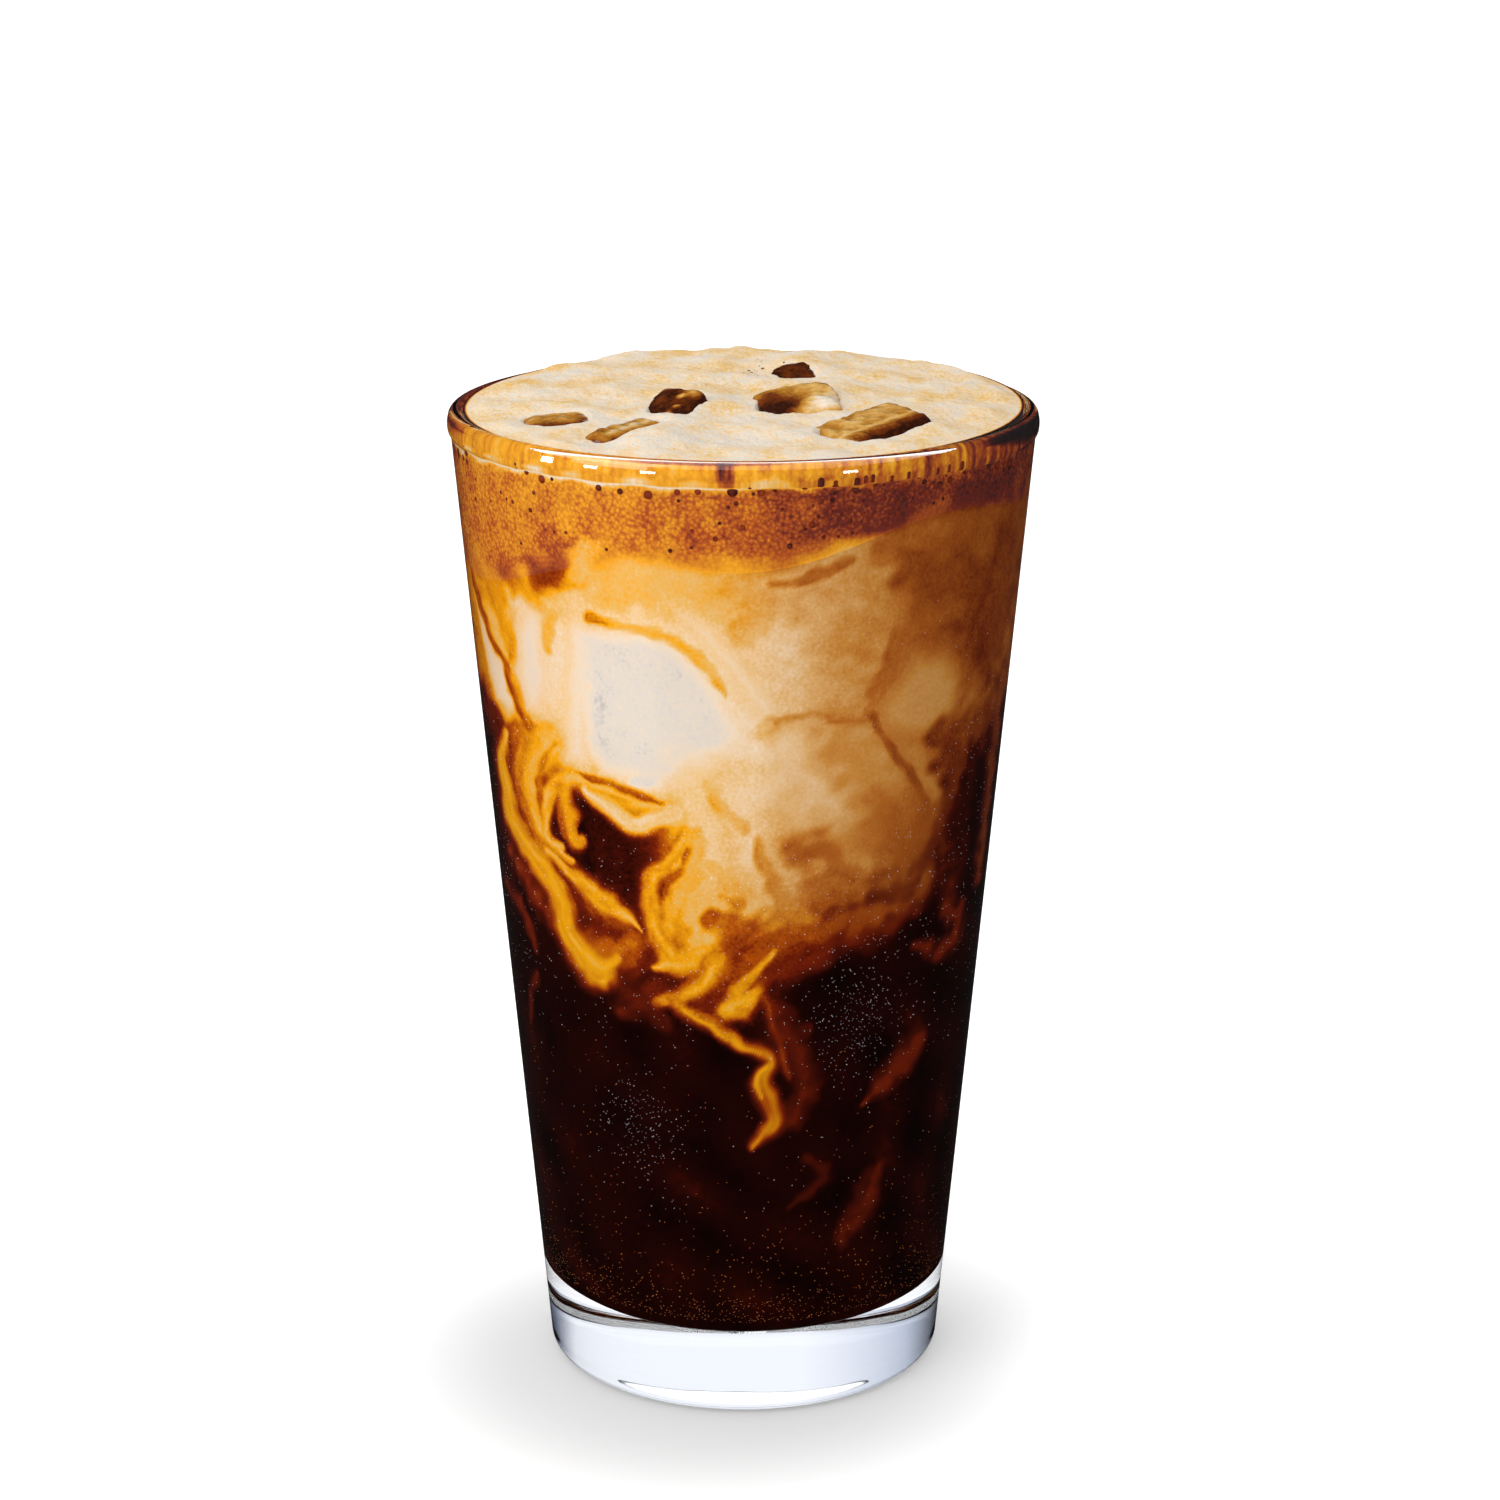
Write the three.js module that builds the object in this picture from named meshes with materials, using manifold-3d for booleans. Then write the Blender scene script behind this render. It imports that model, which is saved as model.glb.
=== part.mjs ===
// Iced shaken espresso in a pint glass: dark coffee below, a cloud of milk in the middle,
// a head of foam on top, and ice that breaks through the foam.
// Millimetres, +Z up, the origin at the middle of the glass's foot.
// The front of the drink is -Y. Angles round the glass start there and grow towards +X.
import * as THREE from "three";
import { RoundedBoxGeometry } from "three/addons/geometries/RoundedBoxGeometry.js";
import { mergeVertices } from "three/addons/utils/BufferGeometryUtils.js";
import Module from "manifold-3d";

// The glass: a tapered tumbler with a thick clear base and a rolled lip
const GLASS_HEIGHT = 151;
const RIM_RADIUS = 44.2;
const FOOT_RADIUS = 30.6;
const WALL_AT_RIM = 2.3;
const WALL_AT_FOOT = 4;
const BASE_THICKNESS = 10.8;
const FLOOR_CORNER = 13;
const HEEL_ROUND = 2.2;
const PUNT_RADIUS = 23;
const PUNT_FLAT_RADIUS = 16.1;
const PUNT_DEPTH = 0.3;
const LIP_HEIGHT = 3.7;
const LIP_BULGE = 0.4;

// The drink: gaps between touching pieces, and the heights of the layers' edges at the glass wall
const GAP = 0.3;
const MILK_EDGE = {
  height: 86,
  waves: [
    { count: 2, swing: -18, crest: -12 },
    { count: 3, swing: -5, crest: 0 },
    { count: 7, swing: 2.5, crest: 20 },
  ],
};
const FOAM_EDGE = {
  height: 134.5,
  waves: [
    { count: 1, swing: 6, crest: 75 },
    { count: 5, swing: 1.6, crest: -30 },
  ],
};
const FOAM_TOP_EDGE = { height: 151.1, waves: [{ count: 1, swing: 0.8, crest: 160 }] };
const FOAM_DOME = 1.1;
const FOAM_RISE_TO_BACK = 0.012;
const FOAM_SHOULDER = 4;
const HEAP_FALL = 2;

// Ice that shows in the foam: the middle of its upper face, its size, and its turn about X, Y and Z
// in degrees. Beside each piece the foam is heaped, or hollowed where the height is negative.
const ICE_ROUNDING = 2.4;
const ICE = [
  {
    name: "ice_flat",
    at: [-27.3, -13.5, 151.5],
    size: [11, 10, 14],
    turn: [4, -3, 8],
    heap: { at: [-27.3, -13.5], height: -0.3, reach: 8 },
  },
  {
    name: "ice_ridge",
    at: [-17, -21.8, 151.9],
    size: [15, 6.5, 13],
    turn: [4, 3, 52],
    heap: { at: [-13, -24.8], height: 0.8, reach: 8 },
  },
  {
    name: "ice_dark",
    at: [-10.3, -9.5, 153.4],
    size: [8.5, 9, 14],
    turn: [24, -8, -20],
    heap: { at: [-5.3, -6.5], height: 0.7, reach: 7 },
  },
  {
    name: "ice_dome",
    at: [7.8, -7.5, 153.5],
    size: [13, 12, 14],
    turn: [14, -7, 10],
    heap: { at: [11.8, -1.5], height: 1.2, reach: 8 },
  },
  {
    name: "ice_back",
    at: [8.4, 14.8, 153.3],
    size: [7.5, 8, 13],
    turn: [24, 4, 30],
    heap: { at: [8.4, 23.8], height: 1.2, reach: 9 },
  },
  {
    name: "ice_slab",
    at: [18.3, -20.5, 152.5],
    size: [18, 11, 12],
    turn: [10, -2, 42],
    heap: { at: [21.3, -12.5], height: 0.5, reach: 9 },
  },
];

// How finely round things are faceted
const SPOKES = 72;
const LAYER_RINGS = 6;
const FOAM_RINGS = 12;
const ARC_STEPS = 4;
const ICE_ROUND_STEPS = 2;

// Points closer than this are one point
const SAME_POINT = 1e-4;

const wasm = await Module();
wasm.setup();

const radians = THREE.MathUtils.degToRad;

// Radius of the outside and of the inside of the glass wall at a height
const outerRadius = (z) => THREE.MathUtils.lerp(FOOT_RADIUS, RIM_RADIUS, z / GLASS_HEIGHT);
const wallThickness = (z) => THREE.MathUtils.lerp(WALL_AT_FOOT, WALL_AT_RIM, z / GLASS_HEIGHT);
const innerRadius = (z) => outerRadius(z) - wallThickness(z);
const drinkRadius = (z) => innerRadius(z) - GAP;

// A quarter or other arc in the radius-height plane, both ends included
function arc(centreRadius, centreHeight, radius, fromDegrees, toDegrees, steps = ARC_STEPS) {
  return Array.from({ length: steps + 1 }, (_, i) => {
    const angle = radians(THREE.MathUtils.lerp(fromDegrees, toDegrees, i / steps));
    const across = radius * Math.cos(angle);
    const up = radius * Math.sin(angle);
    return new THREE.Vector2(centreRadius + across, centreHeight + up);
  });
}

// The rounded corner between the floor of a hollow and its wall, inset from the glass by clearance
function floorCorner(clearance) {
  const radius = FLOOR_CORNER - clearance;
  const centreHeight = BASE_THICKNESS + FLOOR_CORNER;
  return arc(innerRadius(centreHeight) - FLOOR_CORNER, centreHeight, radius, -90, 0);
}

// The glass, turned from its profile: punt, foot, heel, wall, lip, wall, floor
function glassGeometry() {
  const lipRadius = WALL_AT_RIM / 2;
  const lipMiddle = outerRadius(GLASS_HEIGHT) - lipRadius;
  const lipBottom = GLASS_HEIGHT - LIP_HEIGHT;
  const bulgeHeight = GLASS_HEIGHT - LIP_HEIGHT / 2;
  const profile = [
    new THREE.Vector2(0, PUNT_DEPTH),
    new THREE.Vector2(PUNT_FLAT_RADIUS, PUNT_DEPTH),
    new THREE.Vector2(PUNT_RADIUS, 0),
    ...arc(outerRadius(HEEL_ROUND) - HEEL_ROUND, HEEL_ROUND, HEEL_ROUND, -90, 0),
    new THREE.Vector2(outerRadius(lipBottom), lipBottom),
    new THREE.Vector2(outerRadius(bulgeHeight) + LIP_BULGE, bulgeHeight),
    ...arc(lipMiddle, GLASS_HEIGHT - lipRadius, lipRadius, 0, 180, 2 * ARC_STEPS),
    ...floorCorner(0).reverse(),
    new THREE.Vector2(0, BASE_THICKNESS),
  ];
  return new THREE.LatheGeometry(profile, SPOKES);
}

// A closed solid round the axis whose profile changes with the angle.
// profileAt gives as many [radius, height] points at every angle, from the bottom pole to the top pole.
function wavyTurned(profileAt) {
  const spokes = Array.from({ length: SPOKES }, (_, i) => (2 * Math.PI * i) / SPOKES);
  const profiles = spokes.map(profileAt);
  const rings = profiles[0].length - 2;
  const positions = [];
  profiles.forEach((profile, i) => {
    const sine = Math.sin(spokes[i]);
    const cosine = Math.cos(spokes[i]);
    profile.slice(1, -1).forEach(([radius, z]) => positions.push(radius * sine, -radius * cosine, z));
  });
  const bottomPole = positions.length / 3;
  const topPole = bottomPole + 1;
  positions.push(0, 0, profiles[0][0][1], 0, 0, profiles[0][rings + 1][1]);
  const index = [];
  for (let i = 0; i < SPOKES; i++) {
    const here = i * rings;
    const next = ((i + 1) % SPOKES) * rings;
    index.push(bottomPole, next, here);
    for (let ring = 0; ring < rings - 1; ring++) {
      index.push(here + ring, next + ring, next + ring + 1, here + ring, next + ring + 1, here + ring + 1);
    }
    index.push(here + rings - 1, next + rings - 1, topPole);
  }
  const geometry = new THREE.BufferGeometry();
  geometry.setAttribute("position", new THREE.Float32BufferAttribute(positions, 3));
  geometry.setIndex(index);
  return geometry;
}

// Height at the wall of the edge between two layers
function edgeHeight(edge, angle) {
  const wave = ({ count, swing, crest }) => swing * Math.cos(count * (angle - radians(crest)));
  return edge.waves.reduce((height, w) => height + wave(w), edge.height);
}

// The surface between two layers: level on the axis, and reaching its edge's height at the wall
function layerSurface(edge) {
  return (share, angle) => THREE.MathUtils.lerp(edge.height, edgeHeight(edge, angle), share * share);
}

// The foam's top: a low dome that leans up to the back, with heaps and hollows beside the ice,
// rounded off at the wall. A heap falls away to a seventh of its height at its reach.
function foamTop(share, angle) {
  const wall = drinkRadius(FOAM_TOP_EDGE.height);
  const radius = share * wall;
  const x = radius * Math.sin(angle);
  const y = -radius * Math.cos(angle);
  const inside = THREE.MathUtils.smoothstep(wall - radius, 0, FOAM_SHOULDER);
  const lean = FOAM_RISE_TO_BACK * (y + wall);
  const heaps = ICE.reduce((sum, { heap }) => {
    const distance = Math.hypot(x - heap.at[0], y - heap.at[1]);
    return sum + heap.height * Math.exp(-HEAP_FALL * (distance / heap.reach) ** 2);
  }, 0);
  const level = THREE.MathUtils.lerp(FOAM_TOP_EDGE.height, edgeHeight(FOAM_TOP_EDGE, angle), share);
  return level + inside * (FOAM_DOME * (1 - share * share) + lean + heaps);
}

// Points of a layer's surface along one spoke, from the axis out to the wall
function surfacePoints(surface, angle, rings, lift) {
  return Array.from({ length: rings + 1 }, (_, i) => {
    const share = i / rings;
    const z = surface(share, angle) + lift;
    return [share * drinkRadius(z), z];
  });
}

// A layer of the drink between a surface below and a surface above
function layerGeometry(below, above, ringsAbove) {
  return wavyTurned((angle) => [
    ...surfacePoints(below, angle, LAYER_RINGS, GAP / 2),
    ...surfacePoints(above, angle, ringsAbove, -GAP / 2).reverse(),
  ]);
}

// The dark coffee, which fills the glass from its floor up to the milk
function coffeeGeometry(above) {
  const bottom = [[0, BASE_THICKNESS + GAP], ...floorCorner(GAP).map((p) => [p.x, p.y])];
  return wavyTurned((angle) => [
    ...bottom,
    ...surfacePoints(above, angle, LAYER_RINGS, -GAP / 2).reverse(),
  ]);
}

// A rounded block of ice hanging from its upper face, larger all round by grow
function iceGeometry({ at, size, turn }, grow = 0) {
  const [width, depth, height] = size.map((side) => side + 2 * grow);
  const block = new RoundedBoxGeometry(width, depth, height, ICE_ROUND_STEPS, ICE_ROUNDING + grow);
  block.translate(0, 0, -size[2] / 2);
  const turned = new THREE.Euler(...turn.map(radians));
  const place = new THREE.Matrix4().compose(
    new THREE.Vector3(...at),
    new THREE.Quaternion().setFromEuler(turned),
    new THREE.Vector3(1, 1, 1),
  );
  return block.applyMatrix4(place);
}

// A geometry as a solid that can be joined and cut
function toSolid(geometry) {
  const bare = geometry.clone();
  bare.deleteAttribute("normal");
  bare.deleteAttribute("uv");
  const merged = mergeVertices(bare, SAME_POINT);
  return new wasm.Manifold(
    new wasm.Mesh({
      numProp: 3,
      vertProperties: merged.attributes.position.array,
      triVerts: new Uint32Array(merged.index.array),
    }),
  );
}

// A solid back as a geometry
function toGeometry(solid) {
  const { vertProperties, triVerts } = solid.getMesh();
  const geometry = new THREE.BufferGeometry();
  geometry.setAttribute("position", new THREE.BufferAttribute(vertProperties, 3));
  geometry.setIndex(new THREE.BufferAttribute(triVerts, 1));
  geometry.computeVertexNormals();
  return geometry;
}

// A layer with room cut out for every piece of ice
function cutRoundIce(geometry) {
  const rooms = ICE.map((ice) => toSolid(iceGeometry(ice, GAP)));
  return toGeometry(rooms.reduce((solid, room) => solid.subtract(room), toSolid(geometry)));
}

// A finish that is not metal: its colour, its roughness, and how it lets light through
function finish(color, roughness, clearness = {}) {
  return new THREE.MeshStandardMaterial({ color, roughness, metalness: 0, ...clearness });
}

const clearGlass = finish("#eef3f6", 0.02, { transparent: true, opacity: 0.35 });
const darkCoffee = finish("#220502", 0.15);
const cloudyMilk = finish("#e5d0a8", 0.3);
const goldenFoam = finish("#ecd6b4", 0.6);
const wetIce = finish("#8a5a34", 0.1, { transparent: true, opacity: 0.8 });

function piece(name, geometry, material) {
  const mesh = new THREE.Mesh(geometry, material);
  mesh.name = name;
  return mesh;
}

const milkBottom = layerSurface(MILK_EDGE);
const foamBottom = layerSurface(FOAM_EDGE);

// LatheGeometry turns about Y, so the glass is stood up on +Z
const glass = piece("glass", glassGeometry(), clearGlass);
glass.rotation.x = Math.PI / 2;

const drink = new THREE.Group();
drink.add(
  piece("coffee", coffeeGeometry(milkBottom), darkCoffee),
  piece("milk", cutRoundIce(layerGeometry(milkBottom, foamBottom, LAYER_RINGS)), cloudyMilk),
  piece("foam", cutRoundIce(layerGeometry(foamBottom, foamTop, FOAM_RINGS)), goldenFoam),
  ...ICE.map((ice) => piece(ice.name, iceGeometry(ice), wetIce)),
);

const icedEspresso = new THREE.Group();
icedEspresso.name = "iced_shaken_espresso";
icedEspresso.add(glass, drink);

export default icedEspresso;
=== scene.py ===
"""Iced shaken espresso in a pint glass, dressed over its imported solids.

Settings hold lengths in metres. Shapes are worked out in millimetres and scaled as their mesh is made.
Angles round the glass are degrees from the front, -Y, growing towards +X.
"""

import math
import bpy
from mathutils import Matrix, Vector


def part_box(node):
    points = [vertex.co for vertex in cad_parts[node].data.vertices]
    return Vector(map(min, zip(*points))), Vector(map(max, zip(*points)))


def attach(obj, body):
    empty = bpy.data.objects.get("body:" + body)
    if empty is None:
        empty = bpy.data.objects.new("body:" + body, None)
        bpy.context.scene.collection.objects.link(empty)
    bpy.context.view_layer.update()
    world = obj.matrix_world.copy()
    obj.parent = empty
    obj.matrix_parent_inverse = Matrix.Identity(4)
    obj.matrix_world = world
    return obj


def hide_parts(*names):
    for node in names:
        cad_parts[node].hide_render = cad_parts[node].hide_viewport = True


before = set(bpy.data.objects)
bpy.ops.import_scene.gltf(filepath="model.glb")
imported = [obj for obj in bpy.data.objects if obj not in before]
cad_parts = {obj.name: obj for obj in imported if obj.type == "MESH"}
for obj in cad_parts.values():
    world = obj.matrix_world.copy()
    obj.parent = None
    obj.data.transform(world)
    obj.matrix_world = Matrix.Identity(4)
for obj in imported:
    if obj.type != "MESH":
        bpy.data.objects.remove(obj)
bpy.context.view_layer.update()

from types import SimpleNamespace
from typing import NamedTuple

import bmesh
import bpy
import numpy as np
from bpy.props import FloatProperty, FloatVectorProperty, IntProperty, PointerProperty

bl_info = {
    "name": "Iced Shaken Espresso",
    "version": (1, 0, 0),
    "blender": (4, 5, 0),
    "location": "3D View > Sidebar > Drink",
    "description": "Builds an iced shaken espresso in its glass, and the studio round it",
    "category": "Add Mesh",
}

MM = 0.001
GLASS_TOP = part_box("glass")[1]


# Settings


def linear(hex_colour):
    """An sRGB hex colour as linear red, green, blue and alpha."""
    shares = [int(hex_colour[i : i + 2], 16) / 255 for i in (1, 3, 5)]
    return tuple(s / 12.92 if s <= 0.04045 else ((s + 0.055) / 1.055) ** 2.4 for s in shares) + (1.0,)


def number(name, default, description, **kind):
    """A setting that is a plain number, or a number of a kind that is named."""
    return FloatProperty(name=name, description=description, default=default, **kind)


def length(name, default, description):
    """A setting that is a length."""
    return number(name, default, description, min=0.0, unit="LENGTH", precision=5)


def colour(name, default, description):
    """A setting that is a colour."""
    return FloatVectorProperty(
        name=name, description=description, default=linear(default)[:3], min=0.0, max=1.0, subtype="COLOR"
    )


class GlassSettings(bpy.types.PropertyGroup):
    height: length("Height", GLASS_TOP.z, "From the foot to the top of the lip")
    rim_radius: length("Rim radius", 0.0442, "Outside of the straight wall, carried up to the lip")
    foot_radius: length("Foot radius", 0.0306, "Outside of the straight wall, carried down to the foot")
    wall_at_rim: length("Wall at the rim", 0.0023, "Thickness of the wall at the lip")
    wall_at_foot: length("Wall at the foot", 0.004, "Thickness of the wall at the foot")
    base_thickness: length("Base thickness", 0.0108, "Clear glass below the drink")
    floor_corner: length("Floor corner", 0.013, "Rounding between the floor and the wall, inside")
    heel_round: length("Heel rounding", 0.0022, "Rounding between the foot and the wall, outside")
    punt_radius: length("Hollow radius", 0.023, "Radius of the shallow hollow under the foot")
    punt_depth: length("Hollow depth", 0.0003, "Depth of the shallow hollow under the foot")
    lip_height: length("Lip height", 0.0037, "Height of the rolled lip")
    lip_bulge: length("Lip bulge", 0.0004, "How far the rolled lip stands out of the wall")


class DrinkSettings(bpy.types.PropertyGroup):
    contact: length("Contact", 0.00006, "How far the drink reaches into the glass, so that no air shows")
    black_coffee: colour("Black coffee", "#0d0100", "Coffee in the deepest shade")
    coffee: colour("Coffee", "#220502", "Coffee against the wall")
    red_brown: colour("Red-brown", "#4a1206", "Coffee with a trace of milk")
    rust: colour("Rust", "#782209", "Coffee with a little milk")
    burnt_amber: colour("Burnt amber", "#b9560a", "Thin milk over coffee")
    amber: colour("Amber", "#de8f0e", "Milk and coffee, half mixed")
    bright_amber: colour("Bright amber", "#f4ab12", "Bright threads of milk")
    gold: colour("Gold", "#ecbd66", "Milk with some coffee")
    cream: colour("Cream", "#f0cf9c", "Milk with a trace of coffee")
    foam_white: colour("Foam", "#efddc5", "Pale foam")
    ice_white: colour("Ice in milk", "#e0d9ce", "Ice that touches the wall")
    # painted shade: the grey of shadow on ice against the wall
    ice_shade: colour("Ice edge", "#bfb8b2", "Ice that turns away from the wall")
    cloudy_rust: colour("Cloudy rust", "#7c3412", "Coffee with a little milk, well mixed")
    cloudy_brown: colour("Cloudy brown", "#a5571c", "Coffee with some milk, well mixed")
    cloudy_tan: colour("Cloudy tan", "#bd722b", "Milk and coffee, well mixed")
    tan: colour("Tan", "#ce9041", "Milk with some coffee, well mixed")
    pale_tan: colour("Pale tan", "#dfb170", "Milk with a little coffee, well mixed")
    cloudy_cream: colour("Cloudy cream", "#e8c99c", "Milk with a trace of coffee, well mixed")


class IceSettings(bpy.types.PropertyGroup):
    melt: length("Melting", 0.00008, "Depth of the dimples that melting leaves")
    wet: colour("Wet ice", "#36170b", "Bare ice over dark coffee")
    stained: colour("Stained ice", "#7a380e", "Bare ice over milky coffee")
    golden: colour("Golden ice", "#c0822c", "Bare ice over milk")
    film: colour("Foam film", "#e4b668", "Thin foam left on the ice")
    thick_film: colour("Thick foam film", "#f2e4cf", "Foam that covers the ice")


class BubbleSettings(bpy.types.PropertyGroup):
    pore_smallest: length("Smallest pore", 0.00022, "Radius of the smallest open bubble in the foam")
    pore_largest: length("Largest pore", 0.00095, "Radius of the largest open bubble in the foam")
    glint_radius: length("Glint", 0.00009, "Radius of the small bubbles that glint in the coffee")
    speck_radius: length("Speck", 0.0001, "Radius of the orange specks low in the coffee")
    seed: IntProperty(name="Seed", description="Where the bubbles lie", default=5)


class StageSettings(bpy.types.PropertyGroup):
    camera_distance: length("Camera distance", 0.5542, "From the glass's axis to the camera, along the floor")
    camera_height: length("Camera height", 0.2548, "Above the floor")
    camera_aside: length("Camera aside", 0.001, "To the right of the glass's axis")
    camera_tilt: number("Camera tilt", math.radians(15.89), "Below the horizon", subtype="ANGLE")
    camera_lens: number("Lens", 89.83, "Focal length on a 36 mm sensor, in mm")
    floor_size: length("Floor", 30.0, "Side of the square floor")
    floor_glow: number("Floor glow", 0.5, "Light of the white floor itself")
    sky: number("Sky", 0.72, "Strength of the soft light from all round")
    key: number("Key light", 9.0, "The large soft light on the left", unit="POWER")
    top: number("Top light", 1.3, "The soft light overhead", unit="POWER")
    glint: number("Glint lights", 1.5, "The small lights that show in the lip", unit="POWER")


def in_mm(settings):
    """The lengths of a group of settings, in millimetres."""
    return SimpleNamespace(**{name: getattr(settings, name) / MM for name in settings.__annotations__})


# Shapes


def lerp(start, end, share):
    return start + (end - start) * share


def smoothstep(low, high, value):
    share = np.clip((value - low) / (high - low), 0.0, 1.0)
    return share * share * (3 - 2 * share)


def outer_radius(glass, z):
    return lerp(glass.foot_radius, glass.rim_radius, z / glass.height)


def inner_radius(glass, z):
    return outer_radius(glass, z) - lerp(glass.wall_at_foot, glass.wall_at_rim, z / glass.height)


def corner_middle(glass):
    """Radius and height of the middle of the rounding between the floor and the wall."""
    height = glass.base_thickness + glass.floor_corner
    return inner_radius(glass, height) - glass.floor_corner, height


def spot(x, y, middle, reach):
    """1 at a middle, and less away from it, with a reach each way."""
    return np.exp(-(((x - middle[0]) / reach[0]) ** 2) - ((y - middle[1]) / reach[1]) ** 2)


def arc(centre_radius, centre_height, radius, start, end, steps):
    """An arc in the radius-height plane, from one angle in degrees to another, both included."""
    turn = np.radians(np.linspace(start, end, steps + 1))
    return np.column_stack([centre_radius + radius * np.cos(turn), centre_height + radius * np.sin(turn)])


def line(start, end, steps):
    """A straight stretch in the radius-height plane, without its end."""
    share = np.linspace(0, 1, steps, endpoint=False)[:, None]
    return lerp(np.array(start, float), np.array(end, float), share)


# The edges of the layers at the wall: a height, and waves as count, swing and the angle of a crest
MILK_EDGE = (86, ((2, -18, -12), (3, -5, 0), (7, 2.5, 20)))
FOAM_EDGE = (134.5, ((1, 6, 75), (5, 1.6, -30)))
FOAM_TOP_EDGE = (151.1, ((1, 0.8, 160),))
FOAM_DOME = 1.1
FOAM_RISE_TO_BACK = 0.012
FOAM_SHOULDER = 4.0

# Heaps and hollows of the foam beside the ice: x, y, height and reach
FOAM_HEAPS = (
    (-27.3, -13.5, -0.3, 8),
    (-13, -24.8, 0.8, 8),
    (-5.3, -6.5, 0.7, 7),
    (11.8, -1.5, 1.2, 8),
    (8.4, 23.8, 1.2, 9),
    (21.3, -12.5, 0.5, 9),
)

# The foam's own relief: wavelength, height and seed
FOAM_RELIEF = ((14, 0.22, 31), (5, 0.07, 32), (1.8, 0.025, 33))


class TopIce(NamedTuple):
    """Ice that breaks through the foam.

    Bare is the outline, as x and y, that the foam leaves open. Film is how much foam still lies on the
    ice, and marks are lines along which the tone rises or falls, as two ends, reach and change: more or
    less foam, and on some blocks painted highlights and painted shade.
    """

    node: str
    bare: tuple
    film: float
    marks: tuple


TOP_ICE = (
    TopIce(
        "ice_flat",
        ((-32.5, -12.5), (-30, -9.5), (-24, -10), (-22.3, -14.5), (-25, -17.8), (-30.5, -17)),
        0.52,
        (
            ((-31, -17.5), (-23, -17.5), 1.6, -0.4),
            ((-23, -15), (-22.5, -12), 1.5, -0.25),
            ((-31, -10), (-25, -9.5), 1.5, 0.25),
        ),
    ),
    TopIce(
        "ice_ridge",
        ((-21, -28), (-20.5, -23.5), (-16.5, -16), (-13, -15.5), (-11, -18), (-14.5, -23), (-18, -27.5)),
        0.55,
        (
            # a painted highlight along the ridge
            ((-19.5, -26), (-13, -17), 0.6, 0.3),
            ((-18.5, -28), (-11.5, -18.5), 1.0, -0.25),
            ((-21, -28), (-20.5, -24), 1.2, -0.2),
        ),
    ),
    TopIce(
        "ice_dark",
        ((-14, -13), (-13, -6), (-10.5, -5), (-6.5, -6), (-7, -9), (-8, -14), (-11, -14)),
        0.05,
        (
            # painted light on the back edges, with foam film, then small painted glints on the dark face
            ((-13, -5.3), (-8, -5), 1.1, 0.6),
            ((-7.5, -8), (-7, -5.5), 1.3, 0.55),
            ((-11.8, -12.5), (-11.2, -12.2), 0.6, 0.7),
            ((-9.5, -9), (-9, -8.7), 0.5, 0.5),
            ((-10, -11), (-9.6, -11), 0.4, 0.5),
        ),
    ),
    TopIce(
        "ice_dome",
        ((2, -12), (2.5, -5), (6, -2), (11, -2), (14, -6), (13, -11), (8, -13), (4, -13.3)),
        0.6,
        (
            ((3, -13), (6.5, -10), 3.0, -0.65),
            ((2.5, -9), (4, -6), 2.0, -0.35),
            ((10, -12), (14, -8), 2.6, 0.42),
        ),
    ),
    TopIce(
        "ice_back",
        ((5.3, 15.5), (7.5, 18), (10.5, 16), (11.5, 13), (9, 11.3), (6, 12)),
        0.08,
        (((10, 12.5), (11, 14), 1.2, 0.15),),
    ),
    TopIce(
        "ice_slab",
        (
            (10.2, -25.3),
            (14.5, -19.5),
            (18.5, -15),
            (22, -12),
            (25.5, -14),
            (27.3, -18.3),
            (23.5, -23.3),
            (18.5, -28),
            (15, -28.6),
        ),
        0.5,
        (
            # painted light on the upper-left facet and a painted highlight on the ridge, then painted shade
            # on the lower facet and on the side below it
            ((14, -24), (22, -14), 2.2, 0.14),
            ((14, -26.5), (26, -16.5), 0.5, 0.25),
            ((17, -27), (26, -20), 2.0, -0.22),
            ((19, -29), (27.5, -20), 2.0, -0.55),
            ((24, -12), (27, -16), 1.2, -0.3),
        ),
    ),
)
BARE_DIP = 1.2
BARE_EDGE = (-0.3, 1.0)


def closed_path(points):
    """A smooth loop through points, up to where it comes back to its start."""
    return smooth_path((points[-1], *points, *points[:2]))[PATH_STEPS : -PATH_STEPS - 1]


def edge_height(edge, angle):
    """Height at the wall of the edge between two layers."""
    height, waves = edge
    return height + sum(swing * np.cos(count * np.radians(angle - crest)) for count, swing, crest in waves)


def layer_surface(edge, share, angle):
    """The surface between two layers: level on the axis, and reaching its edge's height at the wall."""
    return lerp(edge[0], edge_height(edge, angle), share * share)


def foam_top(glass, share, angle):
    """Height of the foam's top: a low dome that leans up to the back, heaped beside the ice."""
    wall = inner_radius(glass, FOAM_TOP_EDGE[0])
    radius = share * wall
    x = radius * np.sin(np.radians(angle))
    y = -radius * np.cos(np.radians(angle))
    inside = smoothstep(0, FOAM_SHOULDER, wall - radius)
    lean = FOAM_RISE_TO_BACK * (y + wall)
    heaps = sum(
        height * np.exp(-2 * ((x - heap_x) ** 2 + (y - heap_y) ** 2) / reach**2)
        for heap_x, heap_y, height, reach in FOAM_HEAPS
    )
    relief = clouds(x, y, FOAM_RELIEF)
    dip = BARE_DIP * smoothstep(*BARE_EDGE, bare_depth(x, y))
    level = lerp(FOAM_TOP_EDGE[0], edge_height(FOAM_TOP_EDGE, angle), share)
    return level + inside * (FOAM_DOME * (1 - share * share) + lean + heaps + relief) - dip


def bare_depth(x, y):
    """How far inside the nearest opening over the ice points are, negative where foam covers it."""
    return np.max([outline_depth(x, y, closed_path(ice.bare)) for ice in TOP_ICE], axis=0)


# Random waves and whirls

WAVES = 14
WAVE_SPREAD = (0.7, 1.4)


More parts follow.
